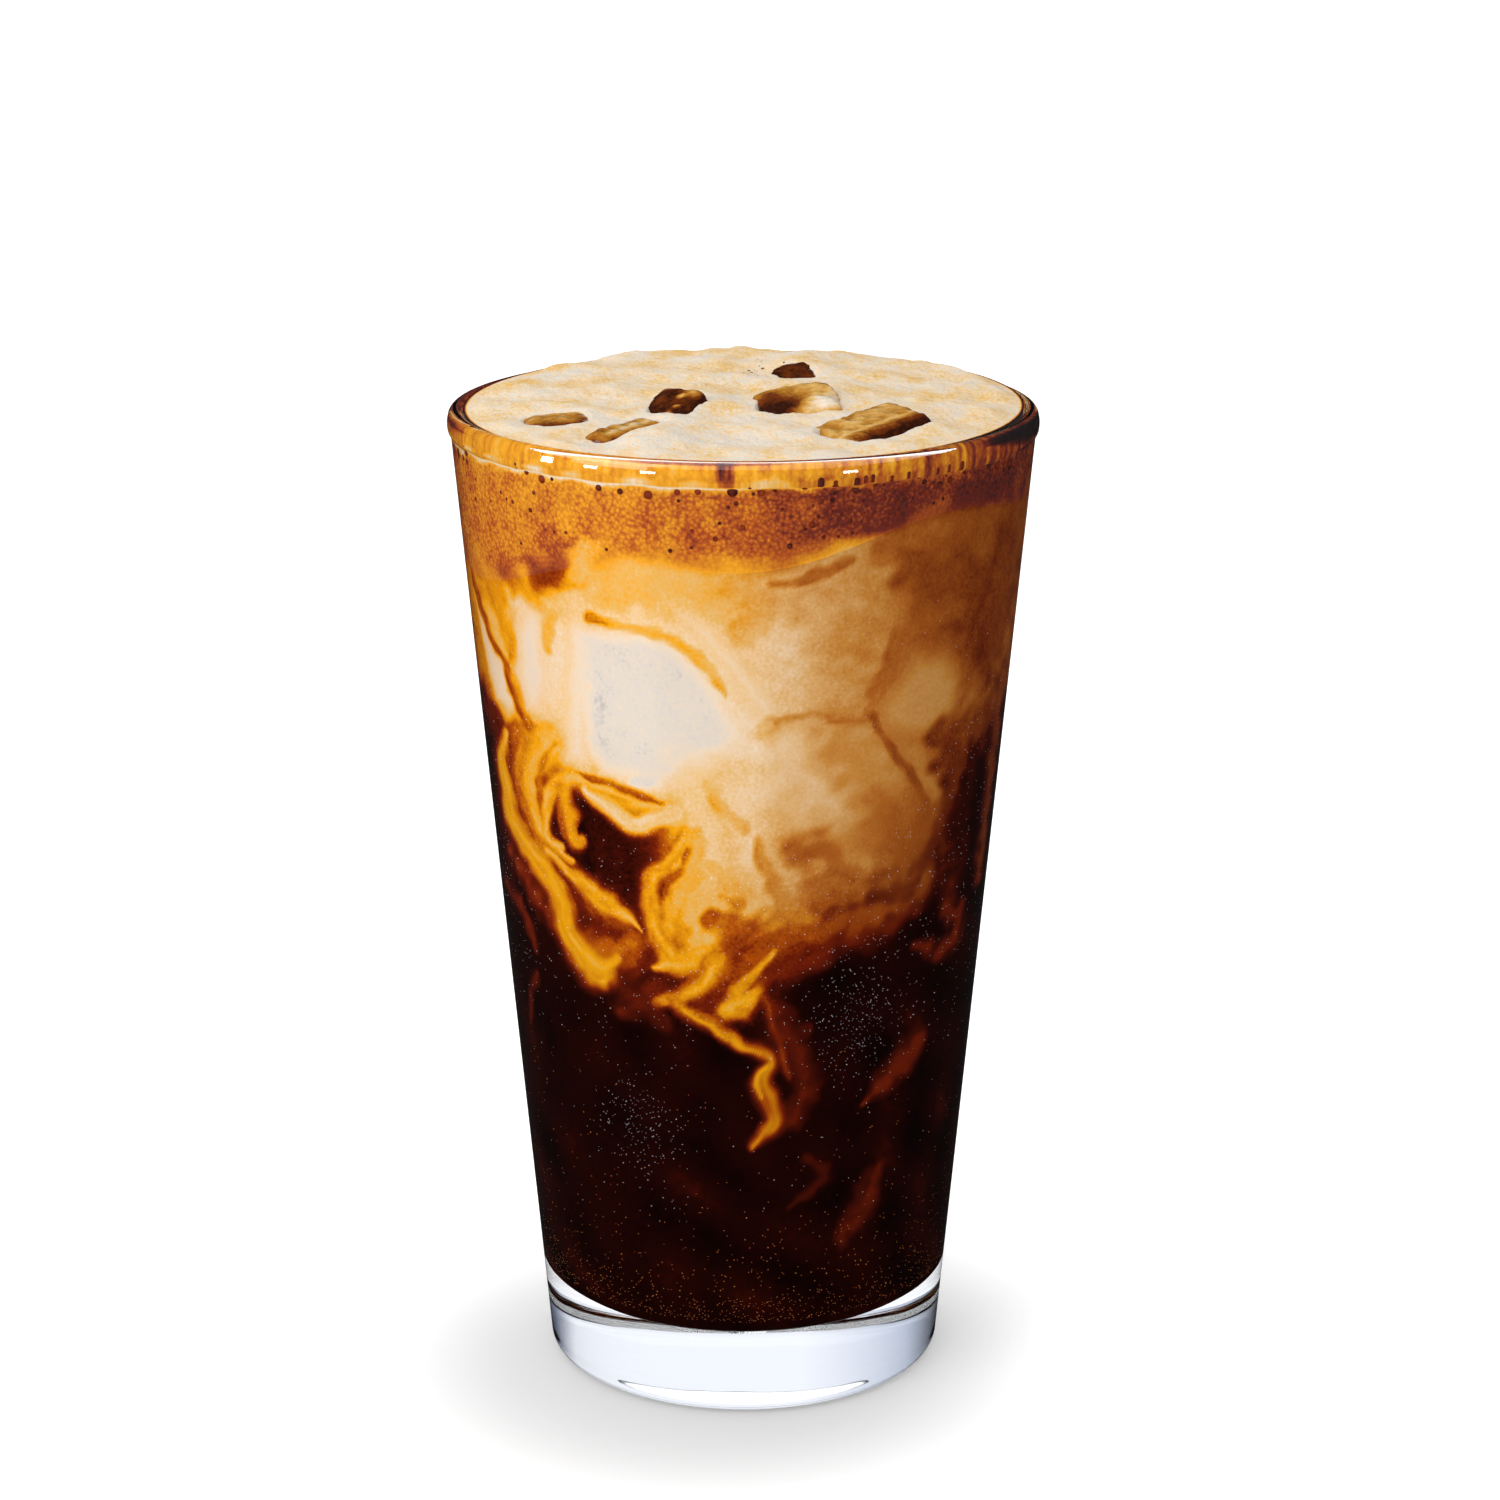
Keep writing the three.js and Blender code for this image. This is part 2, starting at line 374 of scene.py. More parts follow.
def plane_waves(wavelength, seed, turn=None):
    """Numbers and phases of plane waves in random directions, closed round a circle that is turn long."""
    draw = np.random.default_rng(seed)
    heading = draw.uniform(0, 2 * np.pi, WAVES)
    number = 2 * np.pi / (wavelength * draw.uniform(*WAVE_SPREAD, WAVES))
    across = number * np.cos(heading)
    if turn:
        across = np.round(across * turn / (2 * np.pi)) * 2 * np.pi / turn
    return list(zip(across, number * np.sin(heading), draw.uniform(0, 2 * np.pi, WAVES)))


def ripple(u, v, wavelength, seed, turn=None):
    """Smooth random waves over a plane, about 1 high."""
    waves = plane_waves(wavelength, seed, turn)
    return sum(np.sin(a * u + b * v + phase) for a, b, phase in waves) * math.sqrt(2 / WAVES)


def clouds(u, v, kinds, turn=None):
    """Random waves of several kinds, each a wavelength, an amount and a seed."""
    return sum(amount * ripple(u, v, wavelength, seed, turn) for wavelength, amount, seed in kinds)


def whirl(u, v, wavelength, seed, turn):
    """How far whirls of about that size carry each point, about 1 in all."""
    shift_u, shift_v = np.zeros_like(u), np.zeros_like(v)
    for a, b, phase in plane_waves(wavelength, seed, turn):
        flow = np.cos(a * u + b * v + phase) * math.sqrt(2 / WAVES) / math.hypot(a, b)
        shift_u += b * flow
        shift_v -= a * flow
    return shift_u, shift_v


# The pattern on the wall, as tones from 0, black coffee, to 1, painted shade on bare ice

PATTERN_RADIUS = 37.0
PATTERN_REPEAT = 180.0
TURN = 2 * math.pi * PATTERN_RADIUS
TONE_STOPS = (
    ("black_coffee", 0.0),
    ("coffee", 0.1),
    ("red_brown", 0.2),
    ("rust", 0.3),
    ("burnt_amber", 0.42),
    ("amber", 0.52),
    ("bright_amber", 0.61),
    ("gold", 0.72),
    ("cream", 0.8),
    ("foam_white", 0.88),
    ("ice_white", 0.95),
    # painted shade on the ice
    ("ice_shade", 1.0),
)
CLOUDY = {
    "rust": "cloudy_rust",
    "burnt_amber": "cloudy_brown",
    "amber": "cloudy_tan",
    "bright_amber": "tan",
    "gold": "pale_tan",
    "cream": "cloudy_cream",
}
COFFEE_TONE = 0.06
MILK_TONE = 0.75
FOAM_TOP_TONE = 0.835

# Slow changes of tone within the layers: wavelength, amount and seed
COFFEE_CLOUDS = ((14, 0.025, 21),)
MILK_CLOUDS = ((12, 0.025, 22), (4, 0.015, 23))
FOAM_CLOUDS = ((6, 0.02, 24),)
MILK_EDGE_FADE = (-3, 4)
FOAM_EDGE_FADE = (-1.2, 1.2)

# Where milk and coffee are well mixed: from and up to angles, and from a height
CLOUDY_FROM = (-14, 14)
CLOUDY_UP_TO = (92, 74)
CLOUDY_ABOVE = (76, 86)

# How strokes glow over darker drink, and how their streaks, tatters and roundness show
GLOW_START = 0.8
GLOW_REACH = 2.2
GLOW_TONE = 0.52
STREAK_LENGTH = 5.0
STREAK_WIDTH = 1.3
STREAK_EDGE = 0.1
STREAK_TONE = 0.05
STREAK_SEED = 41
TATTER_SIZE = 4.0
TATTER_EDGE = 0.4
TATTER_SEED = 42
STROKE_LIFT = 0.015
STROKE_LEAN = 0.03
STROKE_ROUND = 0.07

# How far patches darken towards their edge
PATCH_RIM = 3.0
PATCH_RIM_LOSS = 0.1

# Whirls that stir the pattern: wavelength, shift and seed
LIVELY = ((22, 0.5, 11), (8, 0.22, 12), (3.2, 0.08, 13))
CALM = ((22, 0.3, 11), (8, 0.12, 12), (3.2, 0.06, 13))


class Stroke(NamedTuple):
    """A thread or stain: points of angle and height, half widths along it, tone, cover and soft edge."""

    path: tuple
    width: tuple
    tone: float
    cover: float
    fade: float


class Patch(NamedTuple):
    """A face of ice or a pocket of coffee: corners of angle and height, tone and how far its edge fades."""

    corners: tuple
    tone: float
    fade: float


# The lower edge of the milk, as angle and height
MILK_SKIRT = (
    (-90, 110), (-76, 108), (-60, 106), (-50, 103), (-44, 101), (-30, 98), (-20, 96), (-17, 86), (-14, 78),
    (-6, 77), (8, 80), (16, 83), (30, 85), (42, 86), (50, 90), (58, 98), (66, 103), (76, 106), (90, 110),
)  # fmt: skip

# The foam against the wall, as angle and tone: golden on the left, brown on the right, partly painted shade
FOAM_SIDE_AND_SHADE = (
    (-90, 0.4), (-65, 0.49), (-35, 0.52), (-12, 0.46), (2, 0.41), (18, 0.32), (32, 0.27), (60, 0.24),
    (90, 0.4),
)  # fmt: skip

# The foam behind the lip, as angle and tone, and the heights between which it begins, lower on the right
LIP_SIDE = (
    (-90, 0.36), (-62, 0.57), (-10, 0.58), (18, 0.53), (36, 0.48), (52, 0.4), (66, 0.32), (90, 0.3),
)  # fmt: skip
LIP_START = (146.5, 143.5)
LIP_START_TURN = (20, 45)
LIP_FULL = 149

# Thin drips behind the lip: amounts on the left and on the right, width, stretch along the height and seed
DRIPS = (0.035, 0.07)
DRIP_TURN = (0, 30)
DRIP_WIDTH = 1.3
DRIP_STRETCH = 0.15
DRIP_SEED = 25

# A drop of coffee that runs down behind the lip
LIP_DRIP = Stroke(((-3.3, 152), (-3.4, 150), (-3.2, 147.8)), (0.75, 0.7, 0.85), 0.27, 0.9, 0.4)

# Milk darker towards the sides, as angle and loss of tone: partly more coffee, partly painted shade
MILK_COFFEE_AND_PAINTED_SHADE = (
    (-90, 0.36), (-72, 0.22), (-58, 0.05), (-10, 0.0), (8, 0.01), (16, 0.06), (28, 0.16), (40, 0.28),
    (52, 0.37), (66, 0.36), (90, 0.36),
)  # fmt: skip

# Pale and brown stains in the milk and in the foam above it, the brown on the right partly painted shade
STAINS_AND_SHADE = (
    Stroke(((-46, 118), (-30, 116), (-12, 114), (0, 108)), (9, 11, 11, 7), 0.86, 0.85, 0.9),
    Stroke(((-27, 133), (-10, 132), (5, 133), (22, 135)), (3, 3.4, 3), 0.67, 0.7, 0.9),
    Stroke(((-2, 135), (2, 130), (1, 125)), (2.4, 2, 1.4), 0.62, 0.75, 0.9),
    Stroke(((5.6, 133.6), (15, 134.3), (23, 135.5)), (0.5, 0.9, 0.6), 0.42, 0.85, 0.7),
    Stroke(((-58, 130.5), (-50, 131), (-44, 132), (-38, 133)), (1.8, 2.6, 2.6, 2), 0.29, 0.9, 0.8),
    Stroke(((-38, 134), (-40, 137), (-44, 139)), (2, 1.8, 1), 0.34, 0.8, 0.9),
    Stroke(((-64, 137), (-60, 132), (-62, 127)), (3, 3.2, 2), 0.47, 0.6, 0.9),
    Stroke(((-56, 136), (-53, 133), (-52, 129)), (2.5, 2.5, 2), 0.5, 0.6, 0.9),
    Stroke(((-70, 132), (-64, 128), (-60, 124), (-59, 119)), (2.2, 2.4, 2.2, 1.5), 0.52, 0.85, 0.8),
    Stroke(((-50, 131), (-47, 127), (-44, 124), (-44, 120)), (1.4, 1.2, 1.4, 0.8), 0.58, 0.85, 0.8),
    Stroke(((-34, 137), (-35, 134), (-37, 129)), (1.6, 1.8, 1.4), 0.8, 0.7, 0.9),
    # brown on the right: partly stain, partly painted shade away from the key light
    Stroke(((36, 134), (50, 128), (60, 122)), (3, 4.5, 4), 0.31, 0.7, 0.9),
    Stroke(
        ((47, 126.5), (38.5, 124), (32.5, 121), (29.5, 116), (28, 113)),
        (2.6, 2.2, 1.8, 1.4, 0.8), 0.43, 0.75, 0.9),
    # brown on the right: partly stain, partly painted shade away from the key light
    Stroke(((68, 133), (64, 124), (66, 116)), (4, 4, 3), 0.3, 0.75, 0.9),
    Stroke(((41, 143), (35, 139.5), (30, 137)), (2.4, 2.2, 1.6), 0.42, 0.7, 0.9),
)  # fmt: skip

# Faces of the ice that touches the wall
SUNK_ICE = (
    Patch(((-38, 127), (-33, 126), (-33.5, 115), (-36, 104), (-43, 103), (-42, 112)), 0.88, 1.0),
    Patch(
        ((-34, 125), (-22, 126), (-13, 124), (-4, 116), (1, 110), (-7, 103), (-18, 102), (-33, 103),
         (-36, 106), (-35, 118)),
        0.94, 1.0),
    Patch(
        ((-55, 122), (-49, 127), (-45, 125), (-46, 119), (-45, 116), (-50, 110), (-54, 110), (-56, 115)),
        0.9, 1.5),
    Patch(((-76, 127), (-69, 119), (-60, 116), (-56, 110), (-64, 106), (-72, 113)), 0.86, 0.8),
    Patch(((-14, 129), (-6, 127), (2, 120), (9, 113), (4, 112), (-2, 118), (-9, 124)), 0.87, 1.2),
    Patch(
        ((4, 111), (9, 113), (25, 112), (30, 110), (38, 101), (36, 92), (24, 88), (12, 92), (5, 101)),
        0.77, 2.0),
    Patch(
        ((29, 112.5), (33, 116.5), (38, 120.5), (48, 119.5), (54, 115), (53, 110), (42, 107), (32, 108.5)),
        0.64, 2.6),
    Patch(((32, 108.5), (42, 107), (45, 103.5), (51, 98), (50, 96), (46.5, 96.5), (38.5, 102.5)), 0.6, 1.0),
)  # fmt: skip

# Lines along the edges of that ice, and strokes of painted shade on its large face
ICE_EDGES = (
    Stroke(
        ((-33, 127), (-23, 126), (-15, 124.5), (-9, 121.5), (-4, 116.5)),
        (0.7, 0.5, 0.7, 0.8, 0.4), 0.58, 0.85, 0.8),
    Stroke(((-33, 127), (-30, 126.6)), (0.7, 0.5), 0.42, 0.8, 0.8),
    Stroke(((-35, 124), (-35.5, 115), (-34, 106)), (1.2, 1.0, 0.8), 0.9, 0.7, 0.9),
    # painted shade: a grey shadow line down the large face of the ice
    Stroke(((-32.8, 123), (-32.5, 116), (-32.3, 108)), (0.9, 1.2, 0.9), 0.99, 0.5, 0.9),
    Stroke(((-24, 113), (-14, 111), (-6, 108)), (2.2, 3.5, 2.2), 0.93, 0.6, 0.9),
    # painted shade: grey along the lower edge of that face
    Stroke(((-23, 102.4), (-17, 102.2), (-12, 102.8)), (0.9, 1.2, 0.9), 1.0, 0.75, 0.9),
    Stroke(((3, 110.5), (6, 111.8)), (1.3, 0.9), 0.60, 0.7, 0.9),
    Stroke(((22, 108), (29, 104), (35, 97)), (4, 5, 4), 0.56, 0.8, 0.9),
    Stroke(((15, 93), (22, 92), (30, 93), (38, 95)), (3, 4, 4, 4), 0.47, 0.8, 0.9),
    Stroke(((2, 106), (5, 100)), (4, 3.5), 0.86, 0.7, 0.9),
    Stroke(((7, 98), (10, 96.6), (13.4, 98.7)), (1.5, 2, 1.2), 0.94, 0.6, 0.9),
    Stroke(((13.7, 93.7), (17, 92)), (1.8, 2), 0.37, 0.75, 0.9),
    Stroke(((24, 90), (28, 89)), (1.5, 1.3), 0.34, 0.65, 0.9),
    Stroke(((33.5, 97), (30, 99.5)), (1.5, 1.5), 0.45, 0.5, 0.9),
    Stroke(((46, 107.5), (54, 106.5), (63, 104)), (1.8, 3, 3), 0.3, 0.9, 0.9),
    Stroke(((50, 103), (57, 101)), (2.2, 3), 0.29, 0.9, 0.9),
    Stroke(((6.8, 112.3), (14.4, 113.2), (24.9, 111.3), (28.7, 112)), (0.4, 0.4, 0.6, 0.6), 0.5, 0.75, 0.8),
    Stroke(((28.7, 112), (32, 108.3), (38.6, 102.7), (46, 96.7)), (0.35, 0.5, 0.55, 0.35), 0.36, 0.85, 0.8),
    Stroke(
        ((-76, 128), (-69, 120), (-62, 116), (-57, 110), (-53, 107.5)),
        (0.7, 1.0, 0.8, 1.2, 1.0), 0.34, 0.9, 0.7),
    Stroke(((-57, 121), (-58, 114), (-54, 108)), (0.7, 0.8), 0.52, 0.7, 0.9),
)  # fmt: skip

# The pocket of coffee under the ice, at the head of the tendrils
POCKET = Patch(
    (
        (-38.5, 98.3), (-36.5, 97.8), (-35, 96.4), (-32, 95), (-29, 94), (-25, 94), (-21, 95.3), (-15, 96),
        (-14.6, 93.4), (-16.8, 90.6), (-21.5, 88), (-23, 84), (-22, 78), (-30, 81), (-36, 87),
        (-38, 89.5), (-37.5, 92),
    ),
    0.14,
    0.5,
)  # fmt: skip

# Coffee and milk drawn into each other, from the widest clouds to the finest threads
TENDRILS = (
    Stroke(((54, 100), (54, 95), (53, 90), (58, 82)), (2.4, 3, 3.5, 3), 0.25, 0.8, 0.9),
    Stroke(((62, 101), (60, 95), (61, 86)), (2, 3, 3.4), 0.13, 0.85, 0.9),
    Stroke(((76, 112), (76, 101), (74, 91), (75, 80)), (2.4, 2.6, 2.4, 1.6), 0.34, 0.75, 0.9),
    Stroke(((26, 90), (34, 91), (42, 91)), (3, 3.6, 3.4), 0.42, 0.75, 0.9),
    Stroke(((-78, 106), (-68, 103), (-72, 93)), (3, 3.6, 4), 0.23, 0.9, 0.9),
    Stroke(((-76, 93), (-74, 82)), (4, 4), 0.13, 0.9, 0.9),
    Stroke(((-58, 104), (-60, 97), (-58, 91), (-52, 88)), (4, 4.5, 4, 2.6), 0.47, 0.9, 0.9),
    Stroke(((-62, 103), (-63, 97), (-61, 92), (-57, 89)), (0.5, 0.6, 0.6, 0.4), 0.3, 0.8, 0.8),
    Stroke(((-51, 103), (-54, 98), (-54, 94), (-51, 92)), (0.5, 0.6, 0.5, 0.4), 0.34, 0.8, 0.8),
    Stroke(((-43, 86), (-37, 82), (-30, 79), (-26, 76), (-28, 72)), (2, 2.8, 2.6, 2.4, 2), 0.37, 0.9, 0.9),
    Stroke(((-72, 85), (-64, 82), (-57, 79), (-50, 77)), (1, 1.6, 2, 1.6), 0.33, 0.85, 0.9),
    Stroke(((-68, 77.5), (-64, 73), (-61, 70)), (1, 1, 0.5), 0.30, 0.8, 0.9),
    Stroke(((-45, 74.5), (-39, 74), (-32, 74), (-27, 75.5)), (2, 3.2, 2.8, 1.4), 0.45, 0.9, 0.9),
    Stroke(((-9, 98), (-10, 92), (-8, 85), (-11, 79)), (5.5, 5, 4.8, 3.5), 0.7, 0.95, 0.6),
    Stroke(((-8, 101), (-7, 97), (-6, 92)), (5, 4.5, 3), 0.83, 0.8, 0.9),
    Stroke(((2, 100), (4, 93), (4, 84)), (5.5, 5, 4), 0.7, 0.9, 0.7),
    Stroke(((1, 101), (1, 97), (2, 92)), (5, 4, 3), 0.83, 0.8, 0.9),
    Stroke(((14, 95), (20, 90), (26, 88)), (5, 5, 4), 0.68, 0.7, 0.9),
    Stroke(
        ((-8, 72), (2, 75), (12, 78), (24, 79.5), (36, 81), (48, 85)),
        (2.6, 3.4, 3.2, 3, 3, 2.5), 0.37, 0.95, 0.9),
    Stroke(((10, 83.5), (18, 84), (29, 85), (40, 86)), (1.6, 2, 2, 1.6), 0.5, 0.7, 0.9),
    Stroke(((-10, 68), (0, 70), (10, 73), (20, 75)), (2, 2.4, 2, 1.5), 0.3, 0.85, 0.9),
    Stroke(((-21, 70), (-26, 66), (-33, 65)), (2.2, 1.8, 1), 0.27, 0.85, 0.9),
    Stroke(((-7, 81.6), (-2, 81), (3, 81)), (1.4, 2.4, 1.5), 0.33, 0.8, 0.9),
    Stroke(((-15, 81), (-14, 78)), (1, 1.2), 0.47, 0.7, 0.9),
    Stroke(((-5, 85.7), (0, 84.6)), (0.5, 0.7), 0.44, 0.8, 0.8),
    Stroke(((-8, 90), (-3, 87.5), (3, 86)), (0.7, 0.9, 0.6), 0.64, 0.6, 0.9),
    Stroke(((12, 93.5), (16, 92), (20, 90.5)), (1.6, 2.4, 1.8), 0.40, 0.85, 0.9),
    Stroke(((21, 89), (25, 87.5)), (1.2, 1.2), 0.46, 0.7, 0.9),
    Stroke(((16, 86), (25, 85.5)), (1.3, 1.5), 0.42, 0.7, 0.9),
    Stroke(((32, 85), (41, 84)), (1.6, 1.8), 0.26, 0.75, 0.9),
    Stroke(
        ((3, 94.4), (5.6, 90), (7.4, 86.5), (10, 83), (15, 81)),
        (0.6, 0.9, 1.1, 1.6, 1.6), 0.54, 0.9, 0.8),
    Stroke(((-7, 102), (-4, 98.5), (0.4, 96)), (0.5, 0.9, 0.7), 0.63, 0.8, 0.8),
    Stroke(((-57, 105), (-60, 100), (-59, 95)), (0.8, 1.2, 0.7), 0.48, 0.85, 0.8),
    Stroke(
        ((-48, 106), (-54, 100.5), (-56, 96), (-55, 92.6), (-52, 90.4), (-47, 89), (-43, 88.3)),
        (2.8, 2.6, 2.2, 1.6, 1.3, 1, 0.5), 0.65, 0.95, 0.6),
    Stroke(((-46, 106), (-51, 101), (-53, 96), (-52, 93)), (0.5, 0.6, 0.5, 0.3), 0.42, 0.8, 0.8),
    Stroke(
        ((-64, 105), (-68, 100), (-67.5, 95), (-67, 90.5), (-61, 87), (-53, 84.4), (-48, 81), (-46.4, 77),
         (-43, 73.5), (-38.5, 71.3), (-33, 70.3)),
        (0.8, 1.4, 2.4, 2.6, 2.4, 2.3, 2.5, 2.5, 2.6, 2.4, 1.5), 0.585, 1.0, 0.5),
    Stroke(((-40, 72.4), (-35, 71.6), (-31, 73)), (1.4, 1.6, 0.8), 0.61, 0.9, 0.7),
    Stroke(
        ((-46, 90), (-50, 90), (-51.5, 92.5), (-50.5, 95.5), (-47.5, 98.8), (-42, 100.6), (-35.5, 101),
         (-29, 100.2), (-23, 99.4), (-17, 99)),
        (0.6, 0.9, 1.1, 1.3, 1.5, 1.5, 1.4, 1.3, 1.2, 1), 0.63, 1.0, 0.5),
    Stroke(((-44, 98), (-43, 94), (-41.5, 91.4), (-39.4, 92)), (1.6, 1.9, 1.5, 0.8), 0.57, 0.95, 0.7),
    Stroke(((-46, 97), (-46.5, 94), (-45, 92)), (0.4, 0.5, 0.4), 0.42, 0.8, 0.8),
    Stroke(((-38, 102.2), (-31, 102), (-24, 100.8), (-18, 99.4)), (0.3, 0.6, 0.6, 0.3), 0.36, 0.85, 0.8),
    Stroke(
        ((-37, 99.8), (-33, 98.4), (-29, 97), (-25, 96), (-21, 96.6), (-16, 97.6)),
        (0.7, 1.2, 1.5, 1.6, 1.6), 0.77, 1.0, 0.5),
    Stroke(
        ((-52, 88), (-46, 86.7), (-40, 85), (-35, 82.8), (-30.6, 81), (-24.7, 78.6)),
        (0.6, 0.9, 1.3, 1.8, 1.4, 0.2), 0.595, 1.0, 0.5),
    Stroke(((-11, 94), (-13, 89), (-15.6, 85), (-17.5, 80)), (1.2, 1.4, 1.4, 1.4), 0.64, 0.95, 0.7),
    Stroke(
        ((-14, 95), (-16.4, 91.8), (-18.8, 89.2), (-21.2, 87), (-22.3, 83.3), (-21.3, 80), (-19.7, 77.4),
         (-18, 75)),
        (0.8, 0.9, 1.1, 1.3, 1.5, 1.6, 1.8, 2), 0.57, 1.0, 0.5),
    Stroke(((-13, 92.4), (-15.6, 88.7), (-18, 86), (-19.4, 83)), (0.3, 0.5, 0.5, 0.2), 0.38, 0.85, 0.7),
    Stroke(
        ((-21.5, 72.6), (-19, 73.6), (-15.4, 74.2), (-11.5, 75.2), (-7, 76.4)),
        (0.6, 1.3, 1.6, 1.9, 1.6), 0.61, 1.0, 0.5),
    Stroke(((-6, 75.4), (-11.5, 71.4), (-15.6, 68.7), (-21.4, 65.9)), (1.9, 1.5, 1.2, 0.7), 0.54, 1.0, 0.5),
    Stroke(((-7, 74.4), (-11, 71.6), (-15, 69.2)), (0.6, 0.6, 0.4), 0.61, 0.9, 0.7),
    Stroke(((7.7, 76.4), (3, 73.5), (-1.5, 71.3)), (0.5, 0.9, 0.9), 0.56, 0.95, 0.6),
    Stroke(((-5, 67.6), (-1, 68.9), (3, 69.9)), (1.5, 2.1, 1.3), 0.59, 1.0, 0.5),
    Stroke(
        ((6, 68.5), (10, 64), (14, 58.6), (15.8, 54), (13.5, 50), (9, 47)),
        (1.4, 2, 2.2, 2.2, 1.8, 1), 0.24, 0.9, 0.9),
    Stroke(((5, 69), (7, 64), (9, 61), (11, 56)), (0.6, 0.7, 0.7, 0.4), 0.36, 0.8, 0.9),
    Stroke(
        ((-16, 67.2), (-11, 65.6), (-6, 64.2), (-0.5, 62.2), (4.7, 60.5), (6.7, 58.8), (4.6, 57),
         (4.4, 54.8), (7, 52), (8.4, 49), (6, 46.9), (2, 45)),
        (1.2, 1.4, 1.3, 1.1, 0.9, 0.9, 1.1, 1.4, 1.5, 1.3, 1.2, 0.6), 0.45, 1.0, 0.6),
    Stroke(((-14, 66.4), (-8, 64.2), (-2, 62.3), (4, 60.4)), (0.4, 0.6, 0.6, 0.3), 0.57, 0.9, 0.7),
    Stroke(((5.2, 58.2), (3.2, 57), (2.9, 55), (5, 52.6)), (0.4, 0.5, 0.5, 0.3), 0.56, 0.9, 0.7),
    Stroke(
        ((50, 58), (46, 55.5), (41, 53), (37, 51), (33.5, 49.6)),
        (1.8, 2.4, 2.4, 1.5, 0.4), 0.29, 0.9, 0.9),
    Stroke(((18, 42), (22, 39.5), (20, 37), (13, 35)), (0.9, 1.1, 1, 0.6), 0.19, 0.9, 0.9),
    Stroke(((39, 39), (35.5, 34.5), (31.5, 29.7), (28.5, 26.5)), (1, 2.6, 2.4, 1), 0.24, 0.9, 0.9),
    Stroke(
        ((56, 78), (64, 75), (61, 72.5), (54, 72), (45, 74.5)),
        (1.4, 1.8, 1.8, 1.4, 0.7), 0.29, 0.85, 0.9),
    Stroke(((-62, 66), (-66, 62), (-70, 57)), (0.7, 1, 0.7), 0.24, 0.8, 0.9),
    Stroke(((-78, 79), (-66, 76), (-62, 71)), (1.4, 0.8), 0.26, 0.8, 0.9),
    Stroke(((-30, 68), (-24, 65), (-20, 63.5)), (2.2, 1.6), 0.22, 0.8, 0.9),
)  # fmt: skip


def folded(angle, centre=0.0):
    """An angle from a centre, where the pattern that faces the viewer comes again on the far side."""
    half = PATTERN_REPEAT / 2
    return (angle - centre + half) % PATTERN_REPEAT - half


def along_wall(angle):
    """Millimetres along the wall for an angle."""
    return np.radians(angle) * PATTERN_RADIUS


def stirred(angle, z, whirls):
    """Points of the wall carried along by whirls."""
    u = along_wall(angle)
    shift_u, shift_v = np.zeros_like(u), np.zeros_like(u)
    for wavelength, amount, seed in whirls:
        du, dv = whirl(u, z, wavelength, seed, TURN)
        shift_u += amount * du
        shift_v += amount * dv
    return angle + np.degrees(shift_u / PATTERN_RADIUS), z + shift_v


PATH_STEPS = 6


def smooth_path(points):
    """A smooth curve through points."""
    p = np.array(points, float)
    padded = np.vstack([2 * p[0] - p[1], p, 2 * p[-1] - p[-2]])
    t = np.linspace(0, 1, PATH_STEPS, endpoint=False)[:, None]
    spans = [
        b + 0.5 * t * (c - a + t * (2 * a - 5 * b + 4 * c - d + t * (3 * (b - c) + d - a)))
        for a, b, c, d in zip(padded, padded[1:], padded[2:], padded[3:])
    ]
    return np.vstack([*spans, p[-1:]])


def nearest(u, z, path):
    """Distance from points to a path, negative to its right, how far along it that is, and its length."""
    best = np.full(u.shape, np.inf)
    side = np.ones(u.shape)
    along = np.zeros(u.shape)
    gone = 0.0
    for a, b in zip(path, path[1:]):
        step = b - a
        span = math.hypot(*step)
        t = np.clip(((u - a[0]) * step[0] + (z - a[1]) * step[1]) / span**2, 0, 1)
        distance = np.hypot(u - a[0] - t * step[0], z - a[1] - t * step[1])
        closer = distance < best
        best = np.where(closer, distance, best)
        side = np.where(closer, np.sign(step[0] * (z - a[1]) - step[1] * (u - a[0])), side)
        along = np.where(closer, gone + t * span, along)
        gone += span
    return best * side, along, gone


def paint(tone, angle, z, stroke):
    """Lays a stroke over the tones, streaked along its length, with a thin glow over darker drink."""
    path = smooth_path(stroke.path)
    middle = path[:, 0].mean()
    path = np.column_stack([along_wall(path[:, 0] - middle), path[:, 1]])
    u = along_wall(folded(angle, middle))
    reach = GLOW_REACH * max(stroke.width)
    low, high = path.min(0) - reach, path.max(0) + reach
    near = (u > low[0]) & (u < high[0]) & (z > low[1]) & (z < high[1])
    distance, along, whole = nearest(u[near], z[near], path)
    width = np.interp(along / whole, np.linspace(0, 1, len(stroke.width)), stroke.width)
    across = distance / width
    streak = ripple(along / STREAK_LENGTH, distance, STREAK_WIDTH, STREAK_SEED)
    streak *= 2 * (1 - stroke.fade) / np.maximum(width, 1)
    tatter = stroke.fade**2 * ripple(u[near], z[near], TATTER_SIZE, TATTER_SEED)
    glow = stroke.cover * (1 - smoothstep(GLOW_START, GLOW_REACH, np.abs(across)))
    under = tone[near]
    under += (np.maximum(under, GLOW_TONE * stroke.tone) - under) * glow
    edge = np.abs(across) + STREAK_EDGE * streak + TATTER_EDGE * tatter * np.minimum(1, 2 / width)
    cover = stroke.cover * (1 - smoothstep(1 - stroke.fade, 1 + stroke.fade, edge))
    sunken = np.clip(across, -1, 1)
    play = STROKE_LIFT + STREAK_TONE * streak + STROKE_LEAN * sunken - STROKE_ROUND * sunken**2
    shade = stroke.tone + 4 * stroke.tone * (1 - stroke.tone) * play
    tone[near] = lerp(under, shade, cover)


